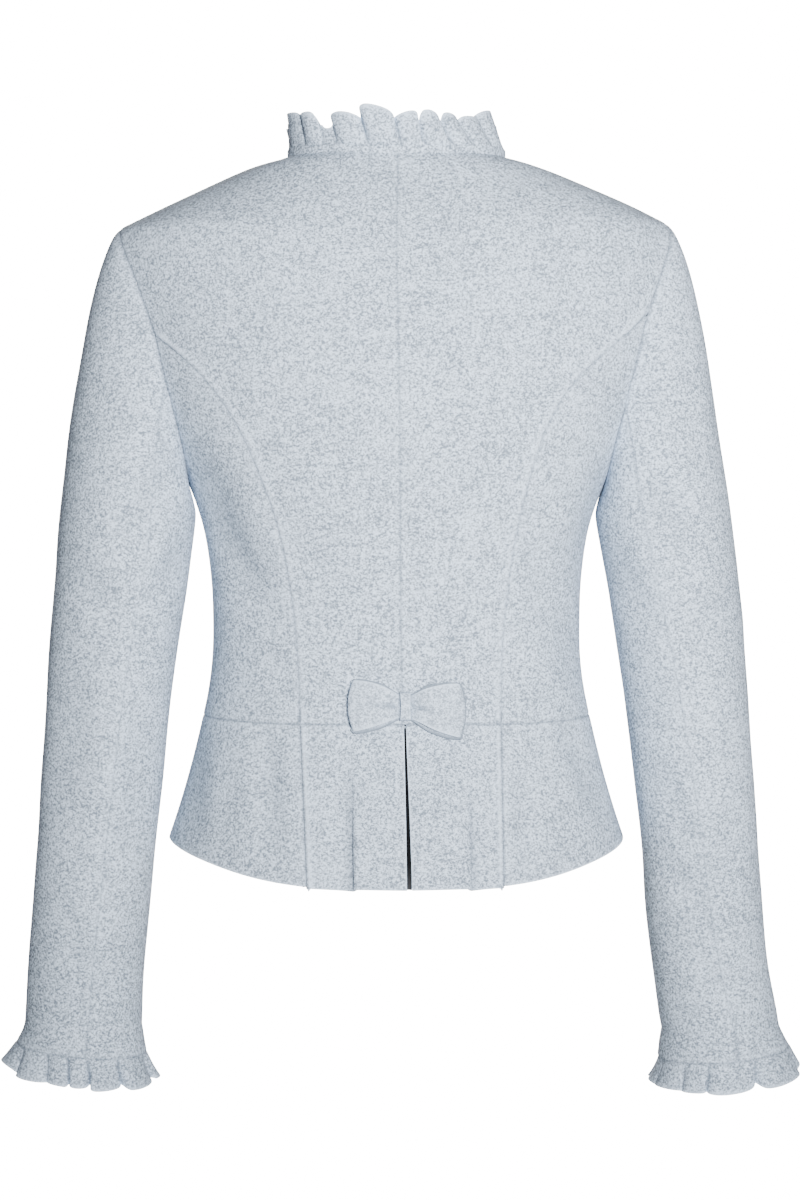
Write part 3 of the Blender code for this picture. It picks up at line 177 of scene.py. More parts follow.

# Creases put in one by one: which pieces, on the back or the front, from (x, z) over a bend to the
# other end, the crease's half width and its depth (below 0 it is a ridge).
Crease = namedtuple("Crease", "on face x0 z0 x1 z1 bend width depth")
CREASE_SHADE = 0.06               # how dark the painted shade in a crease's hollow is for each millimetre of its depth
CREASE_BULGE = (0.4, 1.9, 0.9)   # ridge beside it: share of its depth, place and width in widths
CREASE_AT_EDGE = 0.35            # share of its depth that is left at the piece's edge
BODY, SLEEVE = ("back", "side", "front"), "sleeve"
CREASES = [Crease(on, face, *row) for on, face, rows in (
    (BODY, "back", (
        (153, -207, 94, -332, 3, 12, 3.3), (134, -252, 110, -305, 0, 7, 1.7),
        (116, -347, 68, -382, 0, 8, 1.2), (-151, -217, -125, -291, 3, 11, 2.4),
        (-114, -319, -127, -382, 0, 10, 2.1), (-86, -277, -104, -347, 0, 12, 1.4),
    )),
    ("peplum", "back", (
        (94, -405, 91, -500, 0, 9, 2.5), (141, -410, 148, -490, 0, 8, 2.0),
        (-112, -402, -142, -478, 4, 9, 2.5), (-83, -435, -86, -520, 0, 8, 2.0),
    )),
    (SLEEVE, "back", (
        (165, -215, 198, -269, 3, 12, 2.5), (148, -276, 176, -312, 2, 9, 2.8),
        (233, -290, 198, -319, -3, 12, 2.1), (230, -348, 239, -476, 4, 14, 2.2),
        (183, -390, 194, -505, 0, 12, 2.1), (240, -555, 205, -591, 2, 10, 1.8),
        (-174, -226, -210, -280, -3, 12, 2.5), (-149, -290, -181, -333, 2, 9, 2.5),
        (-238, -305, -203, -348, 3, 12, 2.0), (-181, -433, -217, -498, 0, 8, 2.0),
        (-192, -498, -231, -562, 0, 8, 2.0), (-242, -462, -221, -534, 0, 10, 1.5),
        (-203, -555, -242, -605, 0, 8, 1.5),
    )),
    (BODY, "front", (
        (150, -208, 106, -300, 3, 12, 3.0), (96, -300, 72, -372, 0, 10, 1.8),
        (-149, -212, -110, -294, 3, 12, 2.7), (-98, -296, -75, -375, 0, 10, 2.0),
    )),
    ("peplum", "front", (
        (70, -405, 78, -505, 0, 10, 2.2), (118, -402, 132, -480, 0, 9, 2.0),
        (-74, -405, -84, -500, 0, 10, 2.2), (-120, -402, -134, -478, 0, 9, 1.8),
    )),
    (SLEEVE, "front", (
        (158, -236, 190, -282, 0, 11, 2.4), (164, -300, 203, -327, 3, 9, 3.0),
        (176, -345, 214, -361, 0, 10, 2.2), (240, -420, 218, -520, 0, 13, 1.8),
        (-160, -240, -193, -285, 0, 11, 2.4), (-165, -304, -202, -333, -3, 9, 2.8),
        (-178, -350, -217, -368, 0, 10, 2.1), (-226, -410, -238, -530, 0, 13, 1.8),
    )),
) for row in rows]

SLIT_TOP = (-1.6, -417)          # x of the slit at its top, and down to which level it is closed
# Pleats pressed into the back peplum: x at the top and at the hem, top and hem level, the side
# that lies in front, how far it stands out at the hem, and how dark the painted shadow behind it
# is.
Pleat = namedtuple("Pleat", "x_top x_hem z_top z_hem side height dark")
PLEATS = (
    Pleat(35.6, 35.0, -424, -522, -1, 2.2, 0.42),
    Pleat(-45.8, -46.2, -436, -522, 1, 2.2, 0.42),
)
PLEAT_ROUND = 4.4                # over what width a pleat's fold comes forward (mm)
PLEAT_FLAT = 26                  # how far beyond its fold it is flat again
PLEAT_SUNK = (6.0, 0.7)          # how wide and to what share the cloth behind the fold is sunk
PLEAT_SHADOW = (-1.2, 1.7, 4.0)    # where its painted shadow is darkest, and how wide before and behind that

# The bow's ribbon all round both loops, from the fold of the left loop: distance out from the
# middle, lift off the back, half height, and level of its middle. Then creases pinched in by the
# knot, from (out, level) to (out, level), with their width, depth and how dark their painted shade
# is.
BOW_MIDDLE = (-1.6 * MM, -394.2 * MM)
Station = namedtuple("Station", "out lift half middle")
BOW_RIBBON = [Station(*row) for row in (
    (39.6, 3.9, 17.9, 0.4), (38.7, 6.2, 18.2, 0.4), (35.6, 7.4, 18.2, 0.4),
    (28, 8.6, 17.2, 0.6), (21.6, 9.0, 15.6, 0.8), (16, 8.6, 13.6, 0.8),
    (11.9, 7.4, 11.8, 0.8), (7.5, 5.6, 9.6, 0.6), (3.9, 4.0, 8.0, 0.2),
    (0, 3.8, 7.4, 0), (-3.9, 4.0, 8.2, -0.4), (-7.5, 5.6, 9.9, -0.5),
    (-11.2, 7.4, 12.0, -0.6), (-16, 8.6, 14.3, -1.2), (-21.6, 9.0, 16.3, -1.8),
    (-30, 8.4, 18.2, -2.4), (-37.8, 7.4, 19.2, -3.0), (-41.2, 6.0, 19.2, -3.2),
    (-42.2, 3.8, 19.0, -3.3), (-40.6, 1.5, 19.0, -3.2), (-30, 1.0, 18.4, -2.4),
    (-16, 1.0, 15.0, -1.2), (-4, 1.0, 8.0, -0.4), (4, 1.0, 8.0, 0.2),
    (16, 1.0, 14.4, 0.8), (30, 1.0, 17.6, 0.6), (38, 1.5, 18.0, 0.4),
)]
Pinch = namedtuple("Pinch", "out0 level0 out1 level1 width depth dark")
BOW_PINCHES = [Pinch(*row) for row in (
    (8, 0.4, 24, 0.8, 1.7, 2.6, 0.8), (-4, -0.3, -13, -1.2, 1.7, 2.3, 0.6),
    (-10, -1.0, -18.5, -5.2, 1.5, 1.6, 0.8), (-13, -1.2, -19, 1.6, 1.5, 0.9, 0.4),
    (4, 4, 14, 8.6, 2.0, 0.8, 0.1), (4, -3.6, 13, -8, 2.0, 0.9, 0.1),
    (-4, 3.6, -13, 7.6, 2.0, 0.9, 0.1), (-4, -4.4, -14, -10, 2.0, 0.8, 0.1),
)]
BOW_END_ROUND = 0.09             # how much shorter the ribbon's edges are than its middle
BOW_SHEETS = (Sheet("bow", 115, 60, 5000, 0), Sheet("bow_knot", 12, 28, 300, 0))
BOW_SHADOW_BAND = 1.2                 # how much wider the ribbon's hidden layer is than its front (mm), shown as a painted contact shadow
BOW_FRONT = 2.5                  # lift above which the ribbon is its front layer (mm)
BOW_THICK = 1.5 * MM
# Painted shadow at the ends of the loops: from which distance out, below which lift, over what
# lift, how dark.
BOW_END_SHADOWS = ((36, 6.2, 2.2, 0.15), (-36, 7.2, 2.0, 0.9))
# The knot's strap from its lower to its upper end: level and lift.
KNOT_STRAP = ((-9.6, 0.6), (-10.0, 3.4), (-9.2, 5.6), (-6.0, 6.7), (0, 7.0),
              (6.2, 6.7), (9.4, 5.6), (10.2, 3.4), (9.8, 0.6))
KNOT_HALF_WIDTH = 3.4
BOW_STEPS, BOW_ROWS = 8, 33      # points between two stations, and rows of them over the width
KNOT_STEPS, KNOT_ROWS = 41, 15


# ---------------------------------------------------------------- mesh work

def only(obj):
    """obj alone is selected and active."""
    bpy.ops.object.select_all(action="DESELECT")
    obj.select_set(True)
    bpy.context.view_layer.objects.active = obj


def apply_modifier(obj, kind, **settings):
    modifier = obj.modifiers.new(kind.lower(), kind)
    for name, value in settings.items():
        setattr(modifier, name, value)
    only(obj)
    bpy.ops.object.modifier_apply(modifier=modifier.name)


@contextmanager
def editing(mesh):
    """The mesh opened for work on its points and faces, and written back afterwards."""
    work = bmesh.new()
    work.from_mesh(mesh)
    yield work
    work.to_mesh(mesh)
    work.free()


def search_tree(points, indices):
    tree = KDTree(len(indices))
    for index in indices:
        tree.insert(points[index], index)
    tree.balance()
    return tree


def merged_copy(node, name):
    """A copy of a node whose loose triangles are joined up into quads."""
    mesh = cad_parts[node].data.copy()
    obj = bpy.data.objects.new(name, mesh)
    bpy.context.scene.collection.objects.link(obj)
    with editing(mesh) as work:
        bmesh.ops.remove_doubles(work, verts=work.verts, dist=0.01 * MM)
        bmesh.ops.join_triangles(work, faces=work.faces, angle_face_threshold=math.radians(60),
                                 angle_shape_threshold=math.radians(120), cmp_sharp=False,
                                 topology_influence=2.0)
    mesh.materials.clear()
    return obj


def hollow_middle(node):
    """The line up the middle of the hollow that a piece goes round: its point at each height."""
    if node.startswith("sleeve"):
        side = -1 if node.endswith("right") else 1
        heights, outs, backs = zip(*SLEEVE_MIDDLE)
        return lambda z: Vector((side * np.interp(z, heights, outs),
                                 np.interp(z, heights, backs), z))
    if node.startswith(("cuff", "neck", "collar")):
        lo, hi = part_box(node)
        return lambda z: Vector(((lo[0] + hi[0]) / 2, (lo[1] + hi[1]) / 2, z))
    return lambda z: Vector((0, BODY_MIDDLE, z))


def smooth_patches(work):
    """The faces of a wall in patches, parted by its rim."""
    seen, patches = set(), []
    for first in work.faces:
        if first in seen:
            continue
        seen.add(first)
        stack, patch = [first], []
        while stack:
            face = stack.pop()
            patch.append(face)
            for edge in face.edges:
                if len(edge.link_faces) == 2 and edge.calc_face_angle() < RIM_ANGLE:
                    for other in edge.link_faces:
                        if other not in seen:
                            seen.add(other)
                            stack.append(other)
        patches.append(patch)
    return patches


def outer_face(obj, node):
    """Leaves only the outside of a piece's wall: the largest smooth patch that faces out."""
    middle_at = hollow_middle(node)

    def facing(patch):
        total = 0.0
        for face in patch:
            middle = face.calc_center_median()
            away = middle - middle_at(middle.z)
            total += face.calc_area() * face.normal.dot(away.normalized())
        return total

    with editing(obj.data) as work:
        outside = set(max(smooth_patches(work), key=facing))
        bmesh.ops.delete(work, geom=[f for f in work.faces if f not in outside], context="FACES")
        loose = [v for v in work.verts if not v.link_faces]
        bmesh.ops.delete(work, geom=loose, context="VERTS")


def seam_strip(obj):
    """Keeps the corners sharp, and adds a row of narrow faces along the whole edge for the seam."""
    with editing(obj.data) as work:
        kept = work.verts.layers.float.new("crease_vert")
        for vert in work.verts:
            along = [e.other_vert(vert).co - vert.co for e in vert.link_edges if e.is_boundary]
            if len(along) == 2 and along[0].angle(-along[1]) > CORNER_ANGLE:
                vert[kept] = 1.0
        cut_strip(work, SEAM_STRIP)


def cut_strip(work, width):
    """Cuts every face at the edge at this distance from it, and its corner faces both ways."""
    rim = [v for v in work.verts if v.is_boundary]
    corners = [v for v in rim if len(v.link_faces) == 1 and len(v.link_faces[0].verts) == 4]
    added = set()

    def split(edge, vert):
        share = min(width / edge.calc_length(), 0.45)
        added.add(bmesh.utils.edge_split(edge, vert, share)[1])

    def join(first, second):
        """Splits the face that both points are on, from one to the other."""
        shared = [f for f in first.link_faces if second in f.verts]
        if len(shared) == 1 and not any(e.other_vert(first) == second for e in first.link_edges):
            bmesh.utils.face_split(shared[0], first, second)

    edges = [(e.verts[0], e.verts[1], e.link_faces[0]) for e in work.edges if e.is_boundary]
    for vert in rim:
        for edge in [e for e in vert.link_edges if not e.is_boundary]:
            split(edge, vert)
    for vert in corners:
        for edge in list(vert.link_edges):
            split(edge, vert)
    pairs = []
    for start, end, face in edges:
        ring = list(face.verts)
        ends = []
        for vert, other in ((start, end), (end, start)):
            here, size = ring.index(vert), len(ring)
            steps = [ring[(here + way) % size] for way in (1, -1)]
            toward = (ring.index(other) - here) % size <= size // 2
            ends.append(steps[1] if toward else steps[0])
        if ends[0] in added and ends[1] in added:
            pairs.append((start, end, ends[0], ends[1]))
    for start, end, first, second in pairs:
        if start not in corners and end not in corners:
            join(first, second)
    for corner in corners:
        sides = [(a, b) if s == corner else (b, a) for s, e, a, b in pairs if corner in (s, e)]
        if len(sides) != 2:
            continue
        (near, far), (other_near, other_far) = sides
        join(near, far)
        cut = next((e for e in near.link_edges if e.other_vert(near) == far), None)
        if cut is None:
            continue
        centre = bmesh.utils.edge_split(cut, near, 0.5)[1]
        centre.co = near.co + other_near.co - corner.co
        join(centre, other_near)
        join(centre, other_far)
    for face in list(work.faces):
        if len(face.verts) > 5:
            ends = [v for v in face.verts if v in added]
            if len(ends) == 2:
                join(*ends)


class Surface:
    """A piece's points, normals and edge as arrays, and the distance of each point to the edge."""

    def __init__(self, obj):
        self.obj = obj
        work = bmesh.new()
        work.from_mesh(obj.data)
        work.normal_update()
        work.verts.ensure_lookup_table()
        self.points = np.array([v.co[:] for v in work.verts])
        self.normals = np.array([v.normal[:] for v in work.verts])
        self.edge = [v.index for v in work.verts if v.is_boundary]
        self.beside = {v.index: [e.other_vert(v).index for e in v.link_edges if e.is_boundary]
                       for v in work.verts if v.is_boundary}
        work.free()
        self.tree = search_tree(self.points, self.edge)
        self.nearest = np.array([self.tree.find(point)[1] for point in self.points])
        self.distance = np.array([self.to_edge(point)[1] for point in self.points])

    def to_edge(self, point):
        """The nearest point of the edge line, and its distance."""
        start = self.points[self.tree.find(point)[1]]
        best, gap = start, np.linalg.norm(point - start)
        for other in self.beside[self.tree.find(point)[1]]:
            run = self.points[other] - start
            share = np.dot(point - start, run) / max(np.dot(run, run), 1e-12)
            if 0 < share < 1:
                foot = start + share * run
                far = np.linalg.norm(point - foot)
                if far < gap:
                    best, gap = foot, far
        return best, gap

    def move(self, heights):
        """Moves each point along its normal by its height."""
        self.points = self.points + self.normals * heights[:, None]

    def store(self, dark, rim):
        self.obj.data.vertices.foreach_set("co", self.points.astype(np.float32).ravel())
        store_amounts(self.obj.data, dark, rim)


def store_amounts(mesh, dark, rim):
    """How dark each point of a mesh is (seam lines and painted shade) and how light (painted
    highlights), for its finish.
    """
    for name, amounts in (("seam", dark), ("rim", rim)):
        layer = mesh.attributes.new(name, "FLOAT", "POINT")
        layer.data.foreach_set("value", amounts.astype(np.float32))
    mesh.update()


def seam_neighbours(surfaces):
    """For each piece's points, the piece their nearest edge is sewn to, or None if it is free."""
    found = {}
    for name, surface in surfaces.items():
        names = {}
        for index in surface.edge:
            best, gap = None, SEAM_GAP
            for other, theirs in surfaces.items():
                if other == name or {name, other} in UNSEWN:
                    continue
                _, _, far = theirs.tree.find(surface.points[index])
                if far < gap:
                    best, gap = other, far
            names[index] = best
        found[name] = [names[near] for near in surface.nearest]
    return found


def smooth(t):
    t = np.clip(t, 0, 1)
    return t * t * (3 - 2 * t)


def sew(surfaces):
    """Brings sewn edges together across their gap, and turns both sides to one normal there."""
    moves, partners = {}, {}
    for name, surface in surfaces.items():
        partners[name] = {}
        for index in surface.edge:
            point, best, gap = surface.points[index], None, SEAM_GAP
            for other, theirs in surfaces.items():
                if other != name and {name, other} not in UNSEWN:
                    near, far = theirs.to_edge(point)
                    if far < gap:
                        best, gap = (near, theirs.normals[theirs.tree.find(point)[1]]), far
            if best is not None:
                moves[name, index] = (best[0] - point) * 0.5
                partners[name][index] = best[1]
    for (name, index), move in moves.items():
        surfaces[name].points[index] += move
    for name, surface in surfaces.items():
        for index, near in enumerate(surface.nearest):
            if near in partners[name] and surface.distance[index] < SEAM_TURN:
                share = 1 - smooth(surface.distance[index] / SEAM_TURN)
                turned = surface.normals[index] + partners[name][near] * share
                surface.normals[index] = turned / np.linalg.norm(turned)


# The pressed profile across a seam: height of the cloth at each distance from its edge, how dark
# its line is (painted shade and matted seam), and how light the ridge's painted highlight is.
SEAM_AT = (0, 0.8, 2.0, 3.6, 5.2, 8.0)
SEAM_LINE = 0.85 * MM            # half width of the dark line: painted shade of the groove with the matted seam
RIDGE_HIGHLIGHT_AT, RIDGE_HIGHLIGHT_WIDTH = 2.7, 1.3  # place and half width of the painted highlight on the ridge (mm)
Profile = namedtuple("Profile", "heights dark light")
PLAIN_SEAM = Profile((-0.45, -0.12, 0.08, 0.10, 0.04, 0), 0.62, 0.2)
QUIET_SEAM = Profile((-0.28, -0.06, 0.05, 0.05, 0, 0), 0.5, 0.15)
FAINT_SEAM = Profile((-0.05, -0.02, 0.01, 0.01, 0, 0), 0.04, 0.0)
FRILL_SEAM = Profile((-0.10, 0.10, 0.15, 0.05, 0, 0), 0.5, 0.3)
RAISED_SEAM = Profile((-0.50, 0.35, 0.95, 0.90, 0.05, 0), 0.62, 0.8)
FREE_EDGE = Profile((-0.10, 0.05, 0.06, 0.04, 0, 0), 0.0, 0.0)


def seam_profile(name, neighbour):
    if neighbour is None:
        if name == "neck_band":
            return FAINT_SEAM
        return FRILL_SEAM if name.startswith("cuff") else FREE_EDGE
    if name.startswith(("neck", "cuff")) or neighbour.startswith(("neck", "cuff")):
        return FAINT_SEAM
    if (name.startswith(("back_", "peplum_back"))
            and neighbour.startswith(("side_back", "peplum_side"))):
        return RAISED_SEAM
    pair = {name.rsplit("_", 1)[0], neighbour.rsplit("_", 1)[0]}
    if pair in ({"back"}, {"sleeve_top", "sleeve_under"}):
        return QUIET_SEAM
    return PLAIN_SEAM


def pressed(name, surface, neighbours):
    """Height of each point by its seam's profile, its dark line (painted shade and matted seam) and
    its painted ridge highlight.
    """
    heights, dark, light = (np.zeros(len(surface.points)) for _ in range(3))
    for index, distance in enumerate(surface.distance):
        if distance < SEAM_REACH:
            profile = seam_profile(name, neighbours[index])
            heights[index] = np.interp(distance / MM, SEAM_AT, profile.heights) * MM
            dark[index], light[index] = profile.dark, profile.light
    dark *= np.exp(-(surface.distance / SEAM_LINE) ** 2)
    light *= np.exp(-((surface.distance / MM - RIDGE_HIGHLIGHT_AT) / RIDGE_HIGHLIGHT_WIDTH) ** 2)
    return heights, dark, light


def creased(name, surface):
    """Height that the listed creases give each point, and the painted shade in their hollows."""
    heights, dark = np.zeros(len(surface.points)), np.zeros(len(surface.points))
    share, place, width = CREASE_BULGE
    flat = surface.points[:, [0, 2]]
    for crease in CREASES:
        if not name.startswith(crease.on):
            continue
        start = np.array([crease.x0, crease.z0]) * MM
        end = np.array([crease.x1, crease.z1]) * MM
        across = np.array([end[1] - start[1], start[0] - end[0]])
        across /= np.linalg.norm(across)
        shares = np.linspace(0, 1, 17)
        line = start + (end - start) * shares[:, None]
        line += across * (crease.bend * MM * 4 * shares * (1 - shares))[:, None]
        gaps = np.linalg.norm(flat[:, None] - line[None], axis=2)
        nearest = gaps.argmin(axis=1)
        gap = gaps.min(axis=1) / (crease.width * MM)
        taper = np.sqrt(np.clip(4 * shares * (1 - shares), 0.02, 1))[nearest]
        facing = surface.normals[:, 1] * (1 if crease.face == "back" else -1)
        shape = np.exp(-gap**2) - share * np.exp(-((gap - place) / width) ** 2)
        there = taper * smooth((facing + 0.1) / 0.5)
        heights -= crease.depth * MM * shape * there
        # painted shade in the crease's hollow
        dark += CREASE_SHADE * crease.depth * np.clip(shape, 0, 1) * there
    return heights, dark


def flared(surface, node):
    """How far the lower part of a cuff stands out on its outer side."""
    out, turn = CUFF_FLARE
    low, high = surface.points.min(axis=0), surface.points.max(axis=0)
    middle = (low + high) / 2
    side = -1 if node.endswith("right") else 1
    turned = np.arctan2(surface.points[:, 1] - middle[1], (surface.points[:, 0] - middle[0]) * side)
    down = (high[2] - surface.points[:, 2]) / (high[2] - low[2])
    return out * np.exp(-(turned / turn) ** 2) * smooth(down * 1.2 - 0.2)


def band_seam(surface, node):
    """How near each point of a cuff's band is to the seam across it."""
    start, end = (np.array(point) * MM for point in BAND_SEAMS[node])
    run = end - start
    flat = surface.points[:, [0, 2]] - start
    gap = np.abs(flat[:, 0] * run[1] - flat[:, 1] * run[0]) / np.linalg.norm(run)
    return np.exp(-(gap / (0.9 * MM)) ** 2) * (surface.normals[:, 1] > 0)


def hem_set(surface, lift, reach):
    """How far each point is raised with the hem, at the middle and near the hem most."""
    above = surface.points[:, 2] - surface.points[:, 2].min()
    return lift * np.exp(-(surface.points[:, 0] / reach) ** 2) * (1 - smooth(above / HEM_UP))


def pleated(surface):
    """Height that the peplum's pressed pleats give each point, and the painted shadows of their
    folds and of the slit.
    """
    heights, dark = np.zeros(len(surface.points)), np.zeros(len(surface.points))
    x, z = surface.points[:, 0] / MM, surface.points[:, 2] / MM
    sunk_width, sunk_share = PLEAT_SUNK
    darkest, before, beyond = PLEAT_SHADOW
    for pleat in PLEATS:
        down = np.clip((pleat.z_top - z) / (pleat.z_top - pleat.z_hem), 0, 1.05)
        over = (x - (pleat.x_top + (pleat.x_hem - pleat.x_top) * down)) * pleat.side
        front = smooth((over + PLEAT_ROUND / 2) / PLEAT_ROUND)
        front *= np.exp(-np.clip(over, 0, None) / PLEAT_FLAT)
        behind = np.where(over < 0, np.exp(over / sunk_width), 0) * sunk_share
        heights += pleat.height * (front - behind) * smooth(down * 1.25) * MM
        # Painted shadow along each fold, darkest just behind it.
        gap = over - darkest
        gap = np.where(gap > 0, gap / before, gap / beyond)
        dark += pleat.dark * np.exp(-gap**2) * smooth(down * 1.6) * (surface.normals[:, 1] > 0)
    # Painted shade down the slit, below where it is closed.
    dark += np.exp(-(x - SLIT_TOP[0]) ** 2) * smooth((z - SLIT_TOP[1]) / 5)
    return heights, dark


def uneven(points):
    """Height of the soft unevenness of worn cloth at each point."""
    shift = Vector((3.7, 1.3, 2.1))
    return np.array([noise.noise(Vector(p) / UNEVEN_SIZE + shift) for p in points]) * UNEVEN_HEIGHT


def edge_lines(surface):
    """The stretches of a piece's edge as lists of points, from corner to corner or right round."""
    corners = set()
    for index, (before, after) in surface.beside.items():
        point = Vector(surface.points[index])
        back, on = Vector(surface.points[before]) - point, Vector(surface.points[after]) - point
        if back.angle(-on) > CORNER_ANGLE:
            corners.add(index)
    lines, seen = [], set()
    for start in sorted(surface.edge, key=lambda index: index not in corners):
        for first in surface.beside[start]:
            if (start, first) in seen:
                continue
            line = [start, first]
            seen |= {(start, first), (first, start)}
            while line[-1] != start and line[-1] not in corners:
                before, after = surface.beside[line[-1]]
                onward = after if before == line[-2] else before
                seen |= {(line[-1], onward), (onward, line[-1])}
                line.append(onward)
            lines.append(line)
    return lines


def frill_seam(frill, band):
    """Points of the band's edge that a frill is sewn to, in the order of its gathers, with the way
    the frill leaves it and the way outwards."""
    source = [vert.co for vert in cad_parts[frill.node].data.vertices]
    tree = search_tree(source, range(len(source)))
    mirror = np.array([-1 if frill.node.endswith("right") else 1, 1, 1])
    long = sorted(edge_lines(band), key=len)[-2:]
    long.sort(key=lambda line: np.mean([tree.find(band.points[i])[2] for i in line]))
    line, other = long
    if line[0] == line[-1]:
        points = band.points[line[:-1]] * mirror
        turns = np.arctan2(*(points - points.mean(axis=0))[:, [1, 0]].T)
        line = list(np.roll(line[:-1], -int(np.abs(turns).argmin())))
        turns = np.roll(turns, -int(np.abs(turns).argmin()))
        if turns[2] < turns[0]:
            line = line[:1] + line[:0:-1]
        line.append(line[0])
    elif band.points[line[0]][0] < band.points[line[-1]][0]:
        line = line[::-1]
    points, normals = band.points[line], band.normals[line]
    if frill.node == "collar_frill":
        ways = np.tile((0.0, 0.0, 1.0), (len(line), 1))
        normals = points * (1, 1, 0)
    else:
        far = band.points[other]
        ways = np.array([p - far[np.linalg.norm(far - p, axis=1).argmin()] for p in points])
    return points, ways, normals


def even_steps(rows, starts, places):
    return np.array([np.interp(places, starts, rows[:, axis]) for axis in range(3)]).T


def evened(rows, reach, closed):
    """Each row's mean with its neighbours, on either side."""
    ends = (rows[-reach - 1:-1], rows[1:reach + 1]) if closed else \
        (np.repeat(rows[:1], reach, axis=0), np.repeat(rows[-1:], reach, axis=0))
    wide = np.concatenate([ends[0], rows, ends[1]])
    mean = np.array([wide[i:i + 2 * reach + 1].mean(axis=0) for i in range(len(rows))])
    return mean / np.linalg.norm(mean, axis=1)[:, None]


def make_frill(frill, band):
    """A strip gathered along its seam, in overlapping folds made from its table of gathers."""
    points, ways, outs = frill_seam(frill, band)
    lengths = np.linalg.norm(np.diff(points, axis=0), axis=1)
    starts = np.concatenate([[0], np.cumsum(lengths)])
    closed = frill.node != "collar_frill"
    count = int(starts[-1] / FRILL_COLUMN)
    places = np.linspace(0, starts[-1], count + 1)
    base = even_steps(points, starts, places)
    ways = evened(even_steps(ways, starts, places), FRILL_EVEN, closed)
    outs = evened(even_steps(outs, starts, places), FRILL_EVEN, closed)
    along = np.gradient(base, axis=0)
    if closed:
        along[0] = along[-1] = base[1] - base[-2]
    along = evened(along, 4, closed)

    share = places / starts[-1] - frill.start
    share = np.mod(share, 1) if closed else np.clip(share, 0, 1)
    widths = np.array([gather.width for gather in frill.gathers], float)
    scale = starts[-1] / widths.sum()
    widths /= widths.sum()
    ends = np.cumsum(widths)
    which = np.minimum(np.searchsorted(ends, share), len(widths) - 1)
    through = np.clip(1 - (ends[which] - share) / widths[which], 0, 1)

    def blended(column):
        known_at = ends - widths * (1 if column == "dip" else 0.5)
        return np.interp(share, known_at, [getattr(g, column) for g in frill.gathers], period=1)

    dip, lean, tilt = (blended(column) for column in ("dip", "lean", "tilt"))
    width, reach, rise, lap = (np.array([getattr(g, column) for g in frill.gathers])[which]
                               for column in ("width", "reach", "rise", "lap"))
    crest = np.sin(np.pi * through) ** FRILL_CREST
    length = (frill.height + rise * crest - dip * (1 - crest)) * MM
    drift = np.tile((1.0, 0.0, 0.0), (count + 1, 1)) if not closed else along
    fine, high = PUCKERS
    pucker = np.array([noise.noise(Vector((p / fine, len(frill.node), 3.1))) for p in places])
    rows, up, out, last = [], 0.0, 0.0, 0.0
    for step in np.linspace(0, 1, FRILL_ROWS):
        turned = np.radians(tilt * frill.tilted) * (0.4 + 0.4 * (step + last))
        up = up + length * (step - last) * np.cos(turned)
        out = out + length * (step - last) * np.sin(turned)
        last = step
        wave = (reach * MM * crest - FRILL_INSET) * step**FRILL_OPEN
        wave += pucker * high * min(step / 0.06, 1) * math.exp(-step / 0.22)
        shift = width * (0.1 * np.sin(2 * np.pi * through) + lap * np.sin(np.pi * through) ** 2)
        rows.append(base + ways * up[:, None] + outs * (out + wave)[:, None]
                    + drift * (lean * MM * step)[:, None]
                    - along * (shift * scale * step**0.6)[:, None])
    under, deep = FRILL_ALLOWANCE
    grid = np.array([base - ways * under - outs * deep] + rows)
    if closed:
        grid = grid[:, :-1]
    steps = np.array([-0.15, *np.linspace(0, 1, FRILL_ROWS)])[:, None]
    # The dark line at the seam, painted shade with the matted seam, and a painted highlight along
    # the free edge.
    dark = np.exp(-(steps * frill.height / FRILL_LINE) ** 2)
    dark *= FRILL_DARK if closed else COLLAR_DARK
    rim = np.exp(-((1 - steps) * frill.height / FRILL_HIGHLIGHT) ** 2)
    normal = np.cross(grid[0, 1] - grid[0, 0], grid[1, 1] - grid[0, 0])
    return strip_mesh(frill.node, grid, closed, dark, rim, np.dot(normal, outs[0]) < 0)


def strip_mesh(name, grid, closed, dark, rim, turned_over=False):
    """A piece of cloth through a grid of points, with how dark and how light each is."""
    rows, span = len(grid), len(grid[0])
    faces = []
    for r in range(rows - 1):
        for k in range(span if closed else span - 1):
            here, beside = r * span + k, r * span + (k + 1) % span
            face = (here, beside, beside + span, here + span)
            faces.append(face[::-1] if turned_over else face)
    mesh = bpy.data.meshes.new(name)
    mesh.from_pydata([tuple(point) for row in grid for point in row], [], faces)
    store_amounts(mesh, *((amounts + np.zeros((rows, span))).ravel() for amounts in (dark, rim)))
    piece = bpy.data.objects.new("cloth_" + name, mesh)
    bpy.context.scene.collection.objects.link(piece)
    return piece


# ---------------------------------------------------------------- cloth pieces

def read(items, name, wide=1, kind=float):
    """One value, or several side by side, of each item as an array."""
    values = np.empty(len(items) * wide, kind)
    items.foreach_get(name, values)
    return values.reshape(-1, wide) if wide > 1 else values


def paint_shade_in_hollows(piece):
    """Adds painted shade to the seam's darkness, by how far each point lies below the points around
    it.
    """
    mesh = piece.data
    count = len(mesh.vertices)
    points, normals = read(mesh.vertices, "co", 3), read(mesh.vertices, "normal", 3)
    first, second = read(mesh.edges, "vertices", 2, int).T
    known = np.bincount(first, minlength=count) + np.bincount(second, minlength=count)
    known = np.maximum(known, 1)
    hollow, around, done = np.zeros(count), points.copy(), 0
    for rounds, depth, darkest in HOLLOW_SHADE:
        for _ in range(rounds - done):
            total = [np.bincount(first, around[second, axis], count)
                     + np.bincount(second, around[first, axis], count) for axis in range(3)]
            around = 0.5 * around + 0.5 * np.array(total).T / known[:, None]
        done = rounds
        sunk = np.einsum("ij,ij->i", around - points, normals) / depth
        hollow = np.maximum(hollow, smooth(sunk) * darkest)
    seam, rim = (mesh.attributes[name].data for name in ("seam", "rim"))
    dark = hollow * (1 - np.clip(read(rim, "value") * 2, 0, 1))
    seam.foreach_set("value", np.maximum(read(seam, "value"), dark).astype(np.float32))


